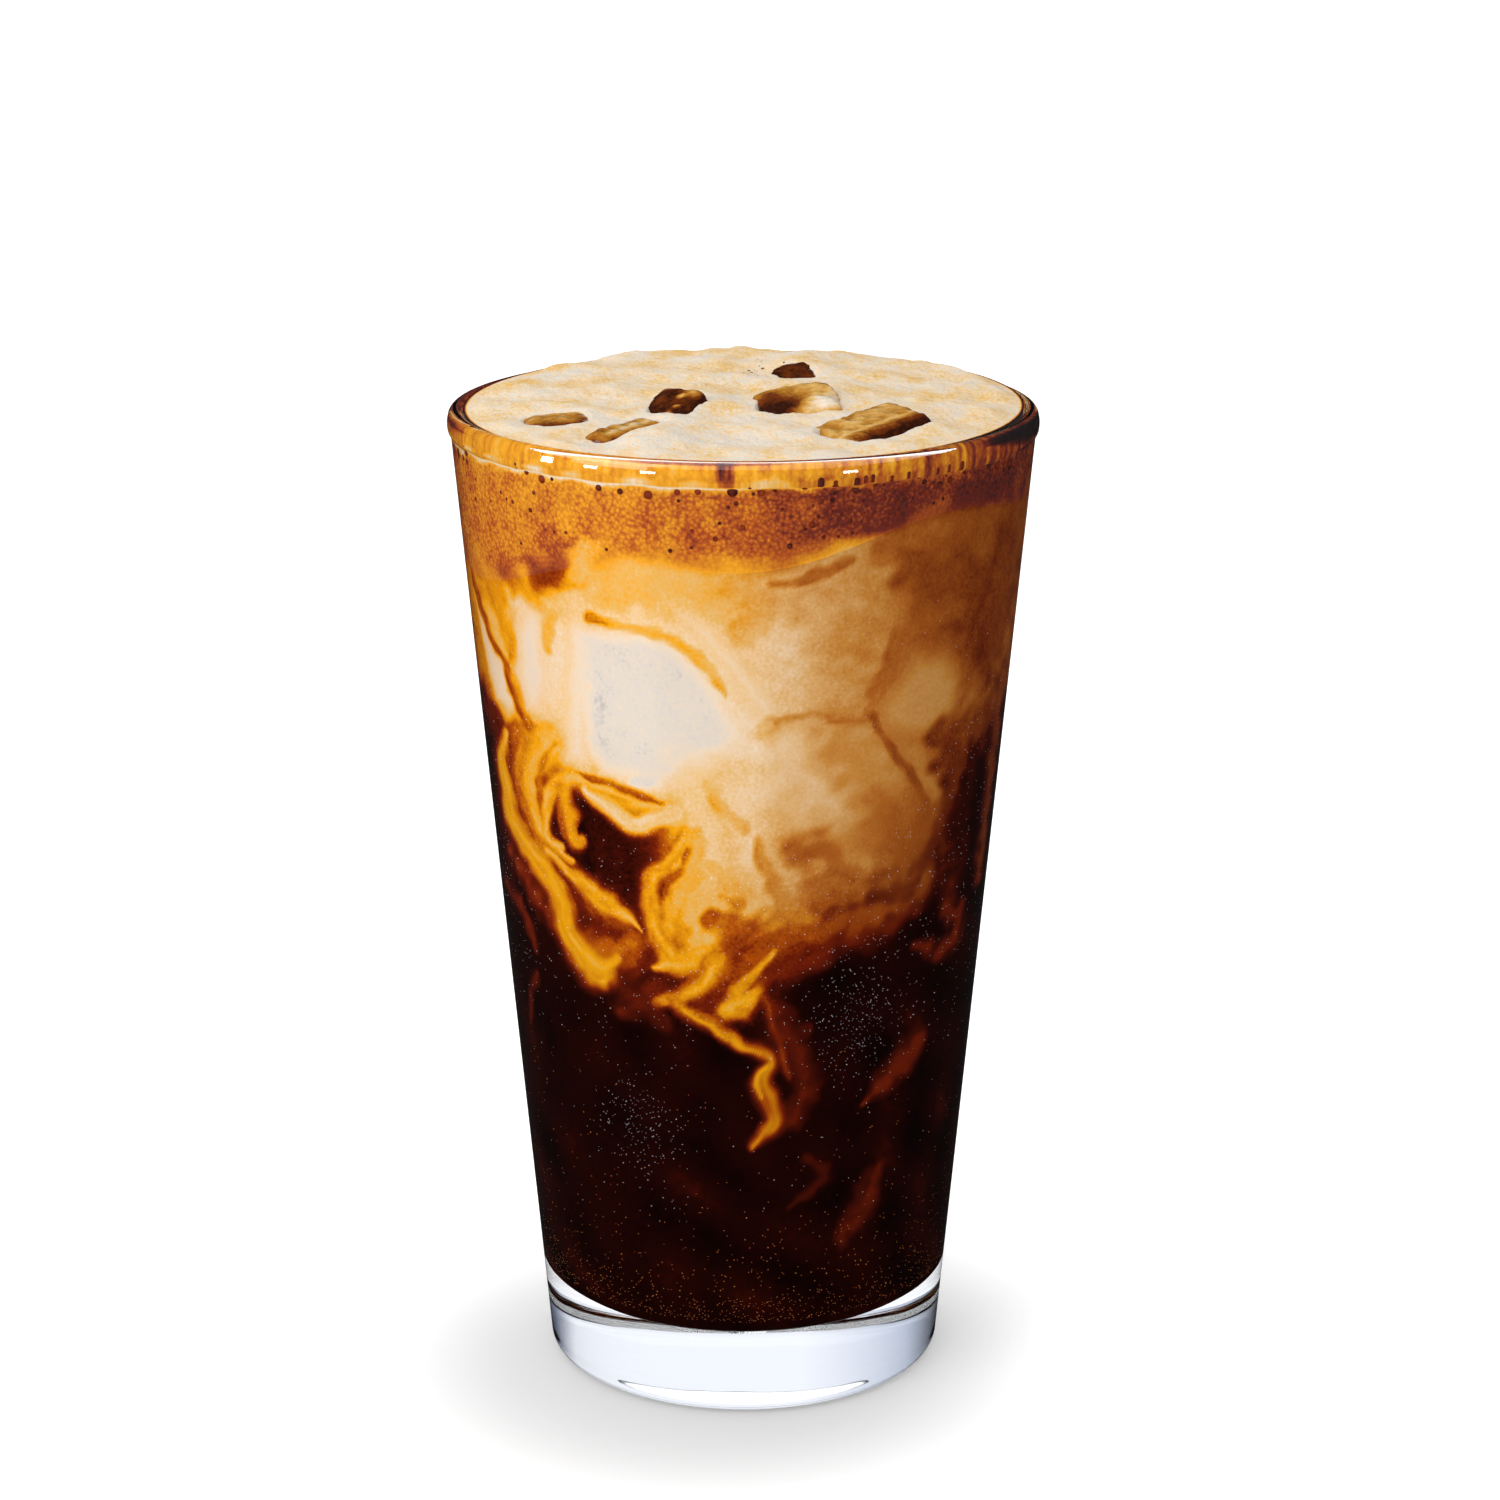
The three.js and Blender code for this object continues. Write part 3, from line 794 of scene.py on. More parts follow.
def outline_depth(u, z, corners):
    """How far inside an outline points are, negative outside."""
    inside = np.zeros(u.shape, bool)
    best = np.full(u.shape, np.inf)
    for a, b in zip(corners, np.roll(corners, -1, axis=0)):
        step = b - a
        t = np.clip(((u - a[0]) * step[0] + (z - a[1]) * step[1]) / (step @ step), 0, 1)
        best = np.minimum(best, np.hypot(u - a[0] - t * step[0], z - a[1] - t * step[1]))
        if step[1]:
            crossing = a[0] + (z - a[1]) / step[1] * step[0]
            inside ^= ((a[1] > z) != (b[1] > z)) & (u < crossing)
    return np.where(inside, best, -best)


def paint_patch(tone, angle, z, patch):
    """Lays a patch over the tones, a little darker towards its edge."""
    corners = np.array(patch.corners, float)
    middle = corners[:, 0].mean()
    corners = np.column_stack([along_wall(corners[:, 0] - middle), corners[:, 1]])
    depth = outline_depth(along_wall(folded(angle, middle)), z, corners)
    face = patch.tone * (1 - PATCH_RIM_LOSS * (1 - smoothstep(0, PATCH_RIM, depth)))
    tone += (face - tone) * smoothstep(-patch.fade, patch.fade, depth)


def layer_tone(angle, z):
    """The tones of the plain layers: coffee, milk and foam."""
    skirt = smooth_path(MILK_SKIRT)
    below = np.interp(folded(angle), skirt[:, 0], skirt[:, 1])
    # darker milk towards the sides: partly more coffee, partly painted shade
    loss = np.interp(folded(angle), *zip(*MILK_COFFEE_AND_PAINTED_SHADE))
    u = along_wall(angle)
    coffee = COFFEE_TONE + clouds(u, z, COFFEE_CLOUDS, TURN)
    milk = MILK_TONE - loss + clouds(u, z, MILK_CLOUDS, TURN)
    tone = lerp(coffee, milk, smoothstep(*MILK_EDGE_FADE, z - below))
    # foam tone round the wall, browner on the right partly by painted shade
    foam = np.interp(folded(angle), *zip(*FOAM_SIDE_AND_SHADE)) + clouds(u, z, FOAM_CLOUDS, TURN)
    return lerp(tone, foam, smoothstep(*FOAM_EDGE_FADE, z - edge_height(FOAM_EDGE, angle)))


def wall_tone(angle, z):
    """The tones of the drink where it touches the wall."""
    calm = stirred(angle, z, CALM)
    lively = stirred(angle, z, LIVELY)
    tone = layer_tone(*lively)
    for stain in STAINS_AND_SHADE:
        paint(tone, *lively, stain)
    for ice in SUNK_ICE:
        paint_patch(tone, *calm, ice)
    for edge in ICE_EDGES:
        paint(tone, *calm, edge)
    paint_patch(tone, *lively, POCKET)
    for tendril in TENDRILS:
        paint(tone, *lively, tendril)
    aside = folded(angle)
    lip_start = lerp(*LIP_START, smoothstep(*LIP_START_TURN, aside))
    drips = lerp(*DRIPS, smoothstep(*DRIP_TURN, aside))
    drips = drips * ripple(along_wall(angle), DRIP_STRETCH * z, DRIP_WIDTH, DRIP_SEED, TURN)
    lip_tone = np.interp(aside, *zip(*LIP_SIDE)) + drips
    tone = lerp(tone, lip_tone, smoothstep(lip_start, LIP_FULL, z))
    paint(tone, angle, z, LIP_DRIP)
    return np.clip(tone, 0, 1)


def cloudiness(angle, z):
    """Where milk and coffee are well mixed, not drawn into threads: on the right, above the tendrils."""
    angle, z = stirred(angle, z, LIVELY)
    aside = folded(angle)
    return smoothstep(*CLOUDY_FROM, aside) * smoothstep(*CLOUDY_UP_TO, aside) * smoothstep(*CLOUDY_ABOVE, z)


# Meshes

SHARP_EDGE = math.radians(40)
SPOKES = 600
SPOKE_ANGLES = np.arange(SPOKES) * 360 / SPOKES


def ring(radius, z, angles=SPOKE_ANGLES):
    """Points round the axis, with a radius and a height for each angle or for all."""
    turn = np.radians(angles)
    radius, z = np.broadcast_to(radius, turn.shape), np.broadcast_to(z, turn.shape)
    return np.column_stack([radius * np.sin(turn), -radius * np.cos(turn), z])


def closed_rings(rings):
    """Points and faces of a solid through rings, from its lower pole to its upper pole, on the axis."""
    rings = np.array(rings)
    count, spokes = rings.shape[:2]
    poles = np.array([[0, 0, rings[0, :, 2].mean()], [0, 0, rings[-1, :, 2].mean()]])
    here = np.arange(spokes)
    after = (here + 1) % spokes
    rows = np.arange(count - 1)[:, None] * spokes
    quads = np.stack([rows + here, rows + after, rows + spokes + after, rows + spokes + here], axis=-1)
    lower = np.column_stack([np.full(spokes, count * spokes), after, here])
    last = (count - 1) * spokes
    upper = np.column_stack([last + here, last + after, np.full(spokes, count * spokes + 1)])
    faces = [*quads.reshape(-1, 4).tolist(), *lower.tolist(), *upper.tolist()]
    return np.vstack([rings.reshape(-1, 3), poles]), faces


def plain_mesh(name, points, faces):
    """A smooth-shaded mesh from points in millimetres."""
    mesh = bpy.data.meshes.new(name)
    mesh.from_pydata((np.asarray(points) * MM).tolist(), [], faces)
    mesh.shade_smooth()
    return mesh


def store(mesh, name, values):
    """Keeps one number for each point of a mesh."""
    mesh.attributes.new(name, "FLOAT", "POINT").data.foreach_set("value", np.asarray(values, np.float32))


def store_drink(mesh, points):
    """Keeps the drink's tone and cloudiness for each point of a mesh."""
    angle, z = angle_of(points), points[:, 2]
    store(mesh, "milk_share", wall_tone(angle, z))
    store(mesh, "cloudiness", cloudiness(angle, z))


def add_piece(name, mesh, material, slot, *nodes):
    """Puts a finished mesh into the scene, in place of CAD nodes if any are named."""
    piece = bpy.data.objects.new(name, mesh)
    bpy.context.scene.collection.objects.link(piece)
    mesh.materials.clear()
    mesh.materials.append(material)
    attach(piece, "root")
    if nodes:
        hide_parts(*nodes)
    return piece


def angle_of(points):
    return np.degrees(np.arctan2(points[:, 0], -points[:, 1]))


# Materials


def add_node(tree, kind, inputs=None, **settings):
    """Adds a node with its settings, and fills its inputs with values or with other nodes' outputs."""
    made = tree.nodes.new(kind)
    for name, value in settings.items():
        setattr(made, name, value)
    for name, value in (inputs or {}).items():
        if isinstance(value, bpy.types.NodeSocket):
            tree.links.new(value, made.inputs[name])
        else:
            made.inputs[name].default_value = value
    return made


def new_material(name, **sockets):
    """A material with one Principled shader, and that shader's tree."""
    material = bpy.data.materials.new(name)
    material.use_nodes = True
    shader = material.node_tree.nodes["Principled BSDF"]
    for socket, value in sockets.items():
        shader.inputs[socket.replace("_", " ")].default_value = value
    return material, material.node_tree, shader


def per_mm(size):
    """The scale that gives a texture features of a size in millimetres."""
    return 1 / (size * MM)


def maths(tree, operation, *values, **settings):
    """The outcome of an operation on values or other nodes' outputs."""
    inputs = dict(enumerate(values))
    return add_node(tree, "ShaderNodeMath", inputs, operation=operation, **settings).outputs[0]


def stored(tree, name):
    """The number of that name that a mesh keeps for each of its points."""
    return add_node(tree, "ShaderNodeAttribute", attribute_name=name).outputs["Fac"]


def noise(tree, size, detail, **inputs):
    """Noise with features of a size in millimetres."""
    place = add_node(tree, "ShaderNodeTexCoord").outputs["Object"]
    sockets = {"Vector": place, "Scale": per_mm(size), "Detail": detail, **inputs}
    return add_node(tree, "ShaderNodeTexNoise", sockets).outputs["Fac"]


def bumped(tree, shader, height, strength, depth):
    """Raises a finish by a pattern, with a depth in millimetres."""
    bump = add_node(tree, "ShaderNodeBump", {"Height": height, "Strength": strength, "Distance": depth * MM})
    tree.links.new(bump.outputs["Normal"], shader.inputs["Normal"])


def blended(tree, share, first, second):
    """A shader that gives way to another by a share."""
    return add_node(tree, "ShaderNodeMixShader", {"Fac": share, 1: first, 2: second}).outputs[0]


def shine_out(tree, shader):
    """Makes a shader the surface of its material."""
    tree.links.new(shader, tree.nodes["Material Output"].inputs["Surface"])


def tone_ramp(tree, factor, stops):
    """A colour that runs through stops of a position and a shade."""
    ramp = add_node(tree, "ShaderNodeValToRGB", {"Fac": factor})
    elements = ramp.color_ramp.elements
    while len(elements) < len(stops):
        elements.new(0.5)
    for element, (position, shade) in zip(elements, stops):
        element.position = position
        element.color = (*shade, 1.0)
    return ramp.outputs["Color"]


def drink_stops(stand_ins):
    """The drink's colours from dark to pale, some of them with others in their place."""
    drink = bpy.context.scene.drink_liquid
    return [(position, getattr(drink, stand_ins.get(name, name))) for name, position in TONE_STOPS]


def soda_lime_glass():
    """Pressed soda-lime glass: clear, faintly blue, its faces not quite even, so its lights are wavy."""
    material, tree, shader = new_material(
        "soda-lime glass", Base_Color=linear("#fafcff"), Roughness=0.0, IOR=1.52, Transmission_Weight=1.0
    )
    bumped(tree, shader, noise(tree, size=9, detail=1.0), strength=0.25, depth=0.2)
    return material


CRITICAL_START = 0.5
CRITICAL_END = 0.53


def mirror_underside(material):
    """Makes the drink a mirror to light that grazes it from within the glass, as in the thick base."""
    tree = material.node_tree
    shader = tree.nodes["Principled BSDF"]
    grazing = add_node(tree, "ShaderNodeLayerWeight", {"Blend": 0.5}).outputs["Facing"]
    sockets = {"Value": grazing, "From Min": CRITICAL_START, "From Max": CRITICAL_END}
    past_critical = add_node(tree, "ShaderNodeMapRange", sockets).outputs["Result"]
    share = maths(tree, "MULTIPLY", past_critical, stored(tree, "underside"))
    mirror = add_node(tree, "ShaderNodeBsdfGlossy", {"Color": linear("#ffffff"), "Roughness": 0.02})
    shine_out(tree, blended(tree, share, shader.outputs["BSDF"], mirror.outputs[0]))


def stirred_drink(name, wisp_amount, grain_amount):
    """Milk and coffee against glass: no shine of its own, wisps where milk has mixed, and a fine grain."""
    material, tree, shader = new_material(name, Roughness=0.6, Specular_IOR_Level=0.0)
    tone = stored(tree, "milk_share")
    wisps = noise(tree, size=1.8, detail=5.0, Distortion=0.6)
    grain = noise(tree, size=0.5, detail=2.0)
    for pattern, amount in ((wisps, wisp_amount), (grain, grain_amount)):
        centred = maths(tree, "SUBTRACT", pattern, 0.5)
        tone = maths(tree, "MULTIPLY_ADD", centred, amount, tone)
    threads = tone_ramp(tree, tone, drink_stops({}))
    cloudy = tone_ramp(tree, tone, drink_stops(CLOUDY))
    sockets = {"Fac": stored(tree, "cloudiness"), 1: threads, 2: cloudy}
    shown = add_node(tree, "ShaderNodeMixRGB", sockets)
    tree.links.new(shown.outputs["Color"], shader.inputs["Base Color"])
    return material


def coffee_foam():
    """Foam of coffee and milk: bubbles under a millimetre across, dark between them where it is thin."""
    material, tree, shader = new_material("coffee foam", Roughness=0.75, Specular_IOR_Level=0.25)
    place = add_node(tree, "ShaderNodeTexCoord").outputs["Object"]
    sockets = {"Vector": place, "Scale": per_mm(0.6), "Randomness": 1.0}
    bubbles = add_node(tree, "ShaderNodeTexVoronoi", sockets).outputs["Distance"]
    grain = maths(tree, "SUBTRACT", noise(tree, size=0.4, detail=2.0), bubbles)
    tone = maths(tree, "MULTIPLY_ADD", grain, stored(tree, "froth"), stored(tree, "milk_share"))
    tree.links.new(tone_ramp(tree, tone, drink_stops({})), shader.inputs["Base Color"])
    bumped(tree, shader, grain, strength=0.35, depth=0.25)
    return material


def melting_ice():
    """Smooth melting ice wet with coffee: dark where bare, golden under foam film, and some painted light and
    shade.
    """
    ice = bpy.context.scene.drink_ice
    material, tree, shader = new_material("melting ice", Roughness=0.12, IOR=1.31, Coat_Weight=0.3)
    trapped = noise(tree, size=0.6, detail=3.0)
    centred = maths(tree, "SUBTRACT", trapped, 0.5)
    tone = maths(tree, "MULTIPLY_ADD", centred, 0.35, stored(tree, "film"))
    stops = [(0.0, ice.wet), (0.25, ice.stained), (0.5, ice.golden), (0.72, ice.film), (1.0, ice.thick_film)]
    tree.links.new(tone_ramp(tree, tone, stops), shader.inputs["Base Color"])
    bumped(tree, shader, trapped, strength=0.12, depth=0.2)
    return material


def spotted(name, base, other, size, **sockets):
    """A plain wet finish whose colour wanders between two shades."""
    material, tree, shader = new_material(name, **sockets)
    stops = [(0.35, linear(base)[:3]), (0.65, linear(other)[:3])]
    shown = tone_ramp(tree, noise(tree, size, detail=2.0), stops)
    tree.links.new(shown, shader.inputs["Base Color"])
    return material


# Pieces


class DRINK_OT_glass(bpy.types.Operator):
    """Turn the glass from its profile"""

    bl_idname = "drink.make_glass"
    bl_label = "Glass"

    SPOKES = 256
    AXIS_GAP = 2.0
    FLAT_RINGS = 6
    HEEL_RINGS = 12
    WALL_RINGS = 16
    CORNER_RINGS = 14
    WALL_START = 4.0
    FLOOR_START = 0.8
    LIP_DEPTH = 2.0
    LIP_TURN = (30, 180)

    def execute(self, context):
        turn = np.arange(self.SPOKES) * 360 / self.SPOKES
        profile = self.profile(in_mm(context.scene.drink_glass))
        points, faces = closed_rings([ring(r, z, turn) for r, z in profile])
        mesh = plain_mesh("pint_glass", points, faces)
        piece = add_piece("pint_glass", mesh, soda_lime_glass(), "clear_glass", "glass")
        piece.visible_shadow = False
        return {"FINISHED"}

    def profile(self, glass):
        """Radii and heights from the axis under the foot, up the wall, over the lip and down to the floor."""
        corner_radius, corner_height = corner_middle(glass)
        heel_radius = outer_radius(glass, glass.heel_round) - glass.heel_round
        hollow = self.hollow_points(glass)
        lip_curve = smooth_path(
            [(outer_radius(glass, z) + share * glass.lip_bulge, z) for share, z in self.lip_points(glass)]
        )
        lip = glass.wall_at_rim / 2
        lip_radius = outer_radius(glass, glass.height) - lip
        wall_start = (outer_radius(glass, self.WALL_START), self.WALL_START)
        below_lip = glass.height - self.LIP_DEPTH
        wall_end = (corner_radius + glass.floor_corner, corner_height)
        floor_start = (self.FLOOR_START * corner_radius, glass.base_thickness)
        return np.vstack(
            [
                line((self.AXIS_GAP, glass.punt_depth), hollow[0], self.FLAT_RINGS),
                smooth_path(hollow),
                arc(heel_radius, glass.heel_round, glass.heel_round, -90, 0, self.HEEL_RINGS),
                line(wall_start, lip_curve[0], self.WALL_RINGS),
                lip_curve,
                arc(lip_radius, glass.height - lip, lip, *self.LIP_TURN, self.CORNER_RINGS),
                line((inner_radius(glass, below_lip), below_lip), wall_end, self.WALL_RINGS),
                arc(corner_radius, corner_height, glass.floor_corner, 0, -90, self.CORNER_RINGS),
                line(floor_start, (self.AXIS_GAP, glass.base_thickness), self.FLAT_RINGS),
            ]
        )

    def hollow_points(self, glass):
        """The edge of the hollow under the foot, from its flat middle out to the foot's ring."""
        return (
            (glass.punt_radius * 0.6, glass.punt_depth),
            (glass.punt_radius * 0.85, glass.punt_depth * 0.6),
            (glass.punt_radius, 0.05),
            (glass.punt_radius + 1.5, 0),
        )

    def lip_points(self, glass):
        """The outside of the lip, as shares of its bulge and heights: a ridge low down, then a slow fall."""
        low = glass.height - glass.lip_height
        return (
            (0.0, low - 0.5),
            (0.1, low - 0.1),
            (0.75, low + 0.35),
            (1.0, low + 0.8),
            (0.9, low + 1.8),
            (0.2, glass.height - 0.375 * glass.wall_at_rim),
        )


def drink_wall(glass, contact):
    """The radius of the drink at a height, just inside the glass, where it turns in at the floor's corner."""
    corner_radius, corner_height = corner_middle(glass)
    round_in = glass.floor_corner + contact

    def wall(z):
        below = np.clip(corner_height - z, 0, round_in)
        in_corner = corner_radius + np.sqrt(round_in**2 - below**2)
        return np.where(below > 0, in_corner, inner_radius(glass, z) + contact)

    return wall


def side_rings(wall, low, high, count):
    """Rings up the wall between two heights that may change with the angle."""
    heights = [lerp(low, high, share) for share in np.linspace(0, 1, count)]
    return [ring(wall(z), z) for z in heights]


def surface_rings(wall, surface, shares):
    """Rings of a surface between layers, at shares of the way from the axis to the wall."""
    return [ring(share * wall(surface(share)), surface(share)) for share in shares]


INNER_SHARES = np.linspace(0.1, 0.9, 5)
UNDERSIDE_RISE = 0.6


class DRINK_OT_layers(bpy.types.Operator):
    """Fill the glass with coffee and milk, stirred into each other"""

    bl_idname = "drink.make_layers"
    bl_label = "Coffee and milk"

    CORNER_RINGS = 12
    COFFEE_RINGS = 140
    MILK_RINGS = 150
    ABOVE_CORNER = 0.5

    def execute(self, context):
        glass = in_mm(context.scene.drink_glass)
        contact = context.scene.drink_liquid.contact / MM
        wall = drink_wall(glass, contact)

        def milk_bottom(share):
            return layer_surface(MILK_EDGE, share, SPOKE_ANGLES)

        def foam_bottom(share):
            return layer_surface(FOAM_EDGE, share, SPOKE_ANGLES)

        floor = glass.base_thickness - contact
        corner_radius, corner_height = corner_middle(glass)
        corner = arc(corner_radius, corner_height, glass.floor_corner + contact, -90, 0, self.CORNER_RINGS)
        coffee = [
            *[ring(share * corner_radius, floor) for share in INNER_SHARES],
            *[ring(r, z) for r, z in corner],
            *side_rings(wall, corner_height + self.ABOVE_CORNER, milk_bottom(1.0), self.COFFEE_RINGS),
            *surface_rings(wall, milk_bottom, INNER_SHARES[::-1]),
        ]
        milk = [
            *surface_rings(wall, milk_bottom, INNER_SHARES),
            *side_rings(wall, milk_bottom(1.0), foam_bottom(1.0), self.MILK_RINGS),
            *surface_rings(wall, foam_bottom, INNER_SHARES[::-1]),
        ]
        black = stirred_drink("brewed coffee", wisp_amount=0.07, grain_amount=0.03)
        mirror_underside(black)
        pale = stirred_drink("milk stirred into coffee", wisp_amount=0.1, grain_amount=0.16)
        finishes = (
            ("brewed_coffee", coffee, black, "dark_coffee", "coffee"),
            ("stirred_milk", milk, pale, "cloudy_milk", "milk"),
        )
        for name, rings, material, slot, node in finishes:
            points, faces = closed_rings(rings)
            mesh = plain_mesh(name, points, faces)
            mesh.set_sharp_from_angle(angle=SHARP_EDGE)
            store_drink(mesh, points)
            store(mesh, "underside", 1 - smoothstep(0, UNDERSIDE_RISE, points[:, 2] - floor))
            add_piece(name, mesh, material, slot, node)
        return {"FINISHED"}


# A painted highlight below the lip, a pale line in the foam that stands for light caught by the lip's foot:
# height, half width, tone, wander, and the angles where it ends
PAINTED_HIGHLIGHT_HEIGHT = 147.2
PAINTED_HIGHLIGHT_WIDTH = 0.55
PAINTED_HIGHLIGHT_TONE = 0.92
PAINTED_HIGHLIGHT_WANDER = ((6, 0.25, 26),)
PAINTED_HIGHLIGHT_END = (40, -20)

# A painted shade along the rim, dark as the lip's edges look, widest at the sides: tone, cover, where its
# edge lies in shares of its reach, and its reach, with what is added to it between two angles
PAINTED_RIM_SHADE_TONE = 0.0
PAINTED_RIM_SHADE_COVER = 0.95
PAINTED_RIM_SHADE_EDGE = (-1.3, -0.9)
PAINTED_RIM_SHADE_REACH = 0.5
PAINTED_RIM_SHADE_MORE = ((36, 78, 2.2), (-50, -80, 1.0))

# The top's changes of tone: mottles, a pale place at the front as middle and reach, and the paler foam
# beside the ice as two distances and an amount
FOAM_MOTTLE = ((14, 0.026, 51), (5, 0.016, 52), (2, 0.012, 53))
FOAM_FRONT = ((-2, -27), (20, 12))
FOAM_FRONT_TONE = 0.05
BESIDE_ICE = ((-4, -0.5, 0.04), (-1, -0.3, 0.04))
FOAM_PALEST = 0.91

# How strongly the bubbles show: low on the side, high on it, behind the lip and on top
FROTH_LOW = 0.04
FROTH_HIGH = 0.2
FROTH_LIP = 0.1
FROTH_TOP = 0.14
FROTH_RISE = (-1, 5)
FROTH_LIP_START = (146, 149)


class DRINK_OT_foam(bpy.types.Operator):
    """Heap the foam on the drink, up to the rim"""

    bl_idname = "drink.make_foam"
    bl_label = "Foam"

    SIDE_RINGS = 34
    RIM_RINGS = 9
    RIM_DEPTH = 1.4
    RIM_GAP = 0.2
    TOP_SHARES = np.linspace(0.995, 0.01, 118)
    TOP_EDGE = (0.05, 0.5)

    def execute(self, context):
        glass = in_mm(context.scene.drink_glass)
        wall = drink_wall(glass, context.scene.drink_liquid.contact / MM)

        def bottom(share):
            return layer_surface(FOAM_EDGE, share, SPOKE_ANGLES)

        def top(share):
            return foam_top(glass, share, SPOKE_ANGLES)

        rings = [
            *surface_rings(wall, bottom, INNER_SHARES),
            *side_rings(wall, bottom(1.0), top(1.0) - self.RIM_DEPTH - self.RIM_GAP, self.SIDE_RINGS),
            *side_rings(wall, top(1.0) - self.RIM_DEPTH, top(1.0), self.RIM_RINGS),
            *surface_rings(wall, top, self.TOP_SHARES),
        ]
        points, faces = closed_rings(rings)
        mesh = plain_mesh("foam_head", points, faces)
        mesh.set_sharp_from_angle(angle=SHARP_EDGE)
        x, y, z = points.T
        angle = angle_of(points)
        on_top = smoothstep(*self.TOP_EDGE, wall(z) - np.hypot(x, y))
        store(mesh, "milk_share", lerp(self.side_tone(angle, z), self.top_tone(x, y), on_top))
        froth = lerp(FROTH_LOW, FROTH_HIGH, smoothstep(*FROTH_RISE, z - edge_height(FOAM_EDGE, angle)))
        froth = lerp(froth, FROTH_LIP, smoothstep(*FROTH_LIP_START, z))
        store(mesh, "froth", lerp(froth, FROTH_TOP, on_top))
        add_piece("foam_head", mesh, coffee_foam(), "golden_foam", "foam")
        return {"FINISHED"}

    @staticmethod
    def side_tone(angle, z):
        """Tones of the foam at the wall, with painted highlight below the lip and painted shade along the
        rim.
        """
        aside = folded(angle)
        # a painted highlight: a pale line in the foam just below the lip
        wander = clouds(along_wall(angle), 0 * z, PAINTED_HIGHLIGHT_WANDER, TURN)
        pale = np.exp(-(((z - PAINTED_HIGHLIGHT_HEIGHT - wander) / PAINTED_HIGHLIGHT_WIDTH) ** 2))
        tone = lerp(wall_tone(angle, z), PAINTED_HIGHLIGHT_TONE, pale * smoothstep(*PAINTED_HIGHLIGHT_END, aside))
        # painted shade: the foam darkened along the rim, most at the sides
        reach = PAINTED_RIM_SHADE_REACH
        for start, end, more in PAINTED_RIM_SHADE_MORE:
            reach = reach + more * smoothstep(start, end, aside)
        painted_rim_shade = smoothstep(*PAINTED_RIM_SHADE_EDGE, (z - edge_height(FOAM_TOP_EDGE, angle)) / reach)
        return lerp(tone, PAINTED_RIM_SHADE_TONE, PAINTED_RIM_SHADE_COVER * painted_rim_shade)

    @staticmethod
    def top_tone(x, y):
        """Tones of the foam's top."""
        depth = bare_depth(x, y)
        front = FOAM_FRONT_TONE * spot(x, y, *FOAM_FRONT)
        beside_ice = sum(more * smoothstep(start, end, depth) for start, end, more in BESIDE_ICE)
        return np.minimum(FOAM_TOP_TONE + clouds(x, y, FOAM_MOTTLE) + front + beside_ice, FOAM_PALEST)


class DRINK_OT_sunk_ice(bpy.types.Operator):
    """Lay ice in the milk against the wall, at the front and again at the back"""

    bl_idname = "drink.make_sunk_ice"
    bl_label = "Sunk ice"

    FACE_RINGS = 19
    FACE_SPOKES = 96
    DEPTH = 12.0
    PROUD = 0.03
    MIDDLE_SHARE = 0.02
    BACK_SHARE = 0.85
    SHOULDER = 0.4

    def block(self, ice, turn, wall):
        """Points of one block: its face on the wall, its sides and its back, all round a middle."""
        corners = np.array(ice.corners, float)
        middle = corners.mean(0)
        outline = np.vstack([corners, corners[:1]])
        length_along = np.linspace(0, len(corners), self.FACE_SPOKES, endpoint=False)
        at_corner = np.arange(len(outline))
        edge = np.column_stack([np.interp(length_along, at_corner, column) for column in outline.T])
        rings = []
        for share, inset in (
            *[(s, 0.0) for s in np.linspace(self.MIDDLE_SHARE, 1.0, self.FACE_RINGS)],
            (1.0, self.SHOULDER * self.DEPTH),
            (self.BACK_SHARE, self.DEPTH),
            (self.MIDDLE_SHARE, self.DEPTH),
        ):
            angle, z = lerp(middle, edge, share).T
            rings.append(ring(wall(z) + self.PROUD - inset, z, angle + turn))
        return rings

    def execute(self, context):
        glass = in_mm(context.scene.drink_glass)
        wall = drink_wall(glass, context.scene.drink_liquid.contact / MM)
        points, faces = [], []
        for turn in (0.0, PATTERN_REPEAT):
            for ice in SUNK_ICE:
                block_points, block_faces = self.closed(self.block(ice, turn, wall))
                start = sum(len(p) for p in points)
                faces += [[start + i for i in face] for face in block_faces]
                points.append(block_points)
        points = np.vstack(points)
        mesh = plain_mesh("sunk_ice", points, faces)
        mesh.set_sharp_from_angle(angle=SHARP_EDGE)
        store_drink(mesh, points)
        material = stirred_drink("ice in milk", wisp_amount=0.06, grain_amount=0.1)
        add_piece("sunk_ice", mesh, material, "cloudy_milk")
        return {"FINISHED"}

    @staticmethod
    def closed(rings):
        """A block closed at the middle of its face and of its back, with its faces pointing outwards."""
        points, faces = closed_rings(rings)
        points[-2:] = rings[0].mean(0), rings[-1].mean(0)
        mesh = bpy.data.meshes.new("block")
        mesh.from_pydata(points.tolist(), [], faces)
        shape = bmesh.new()
        shape.from_mesh(mesh)
        bmesh.ops.recalc_face_normals(shape, faces=shape.faces)
        turned = [[v.index for v in face.verts] for face in shape.faces]
        shape.free()
        bpy.data.meshes.remove(mesh)
        return points, turned


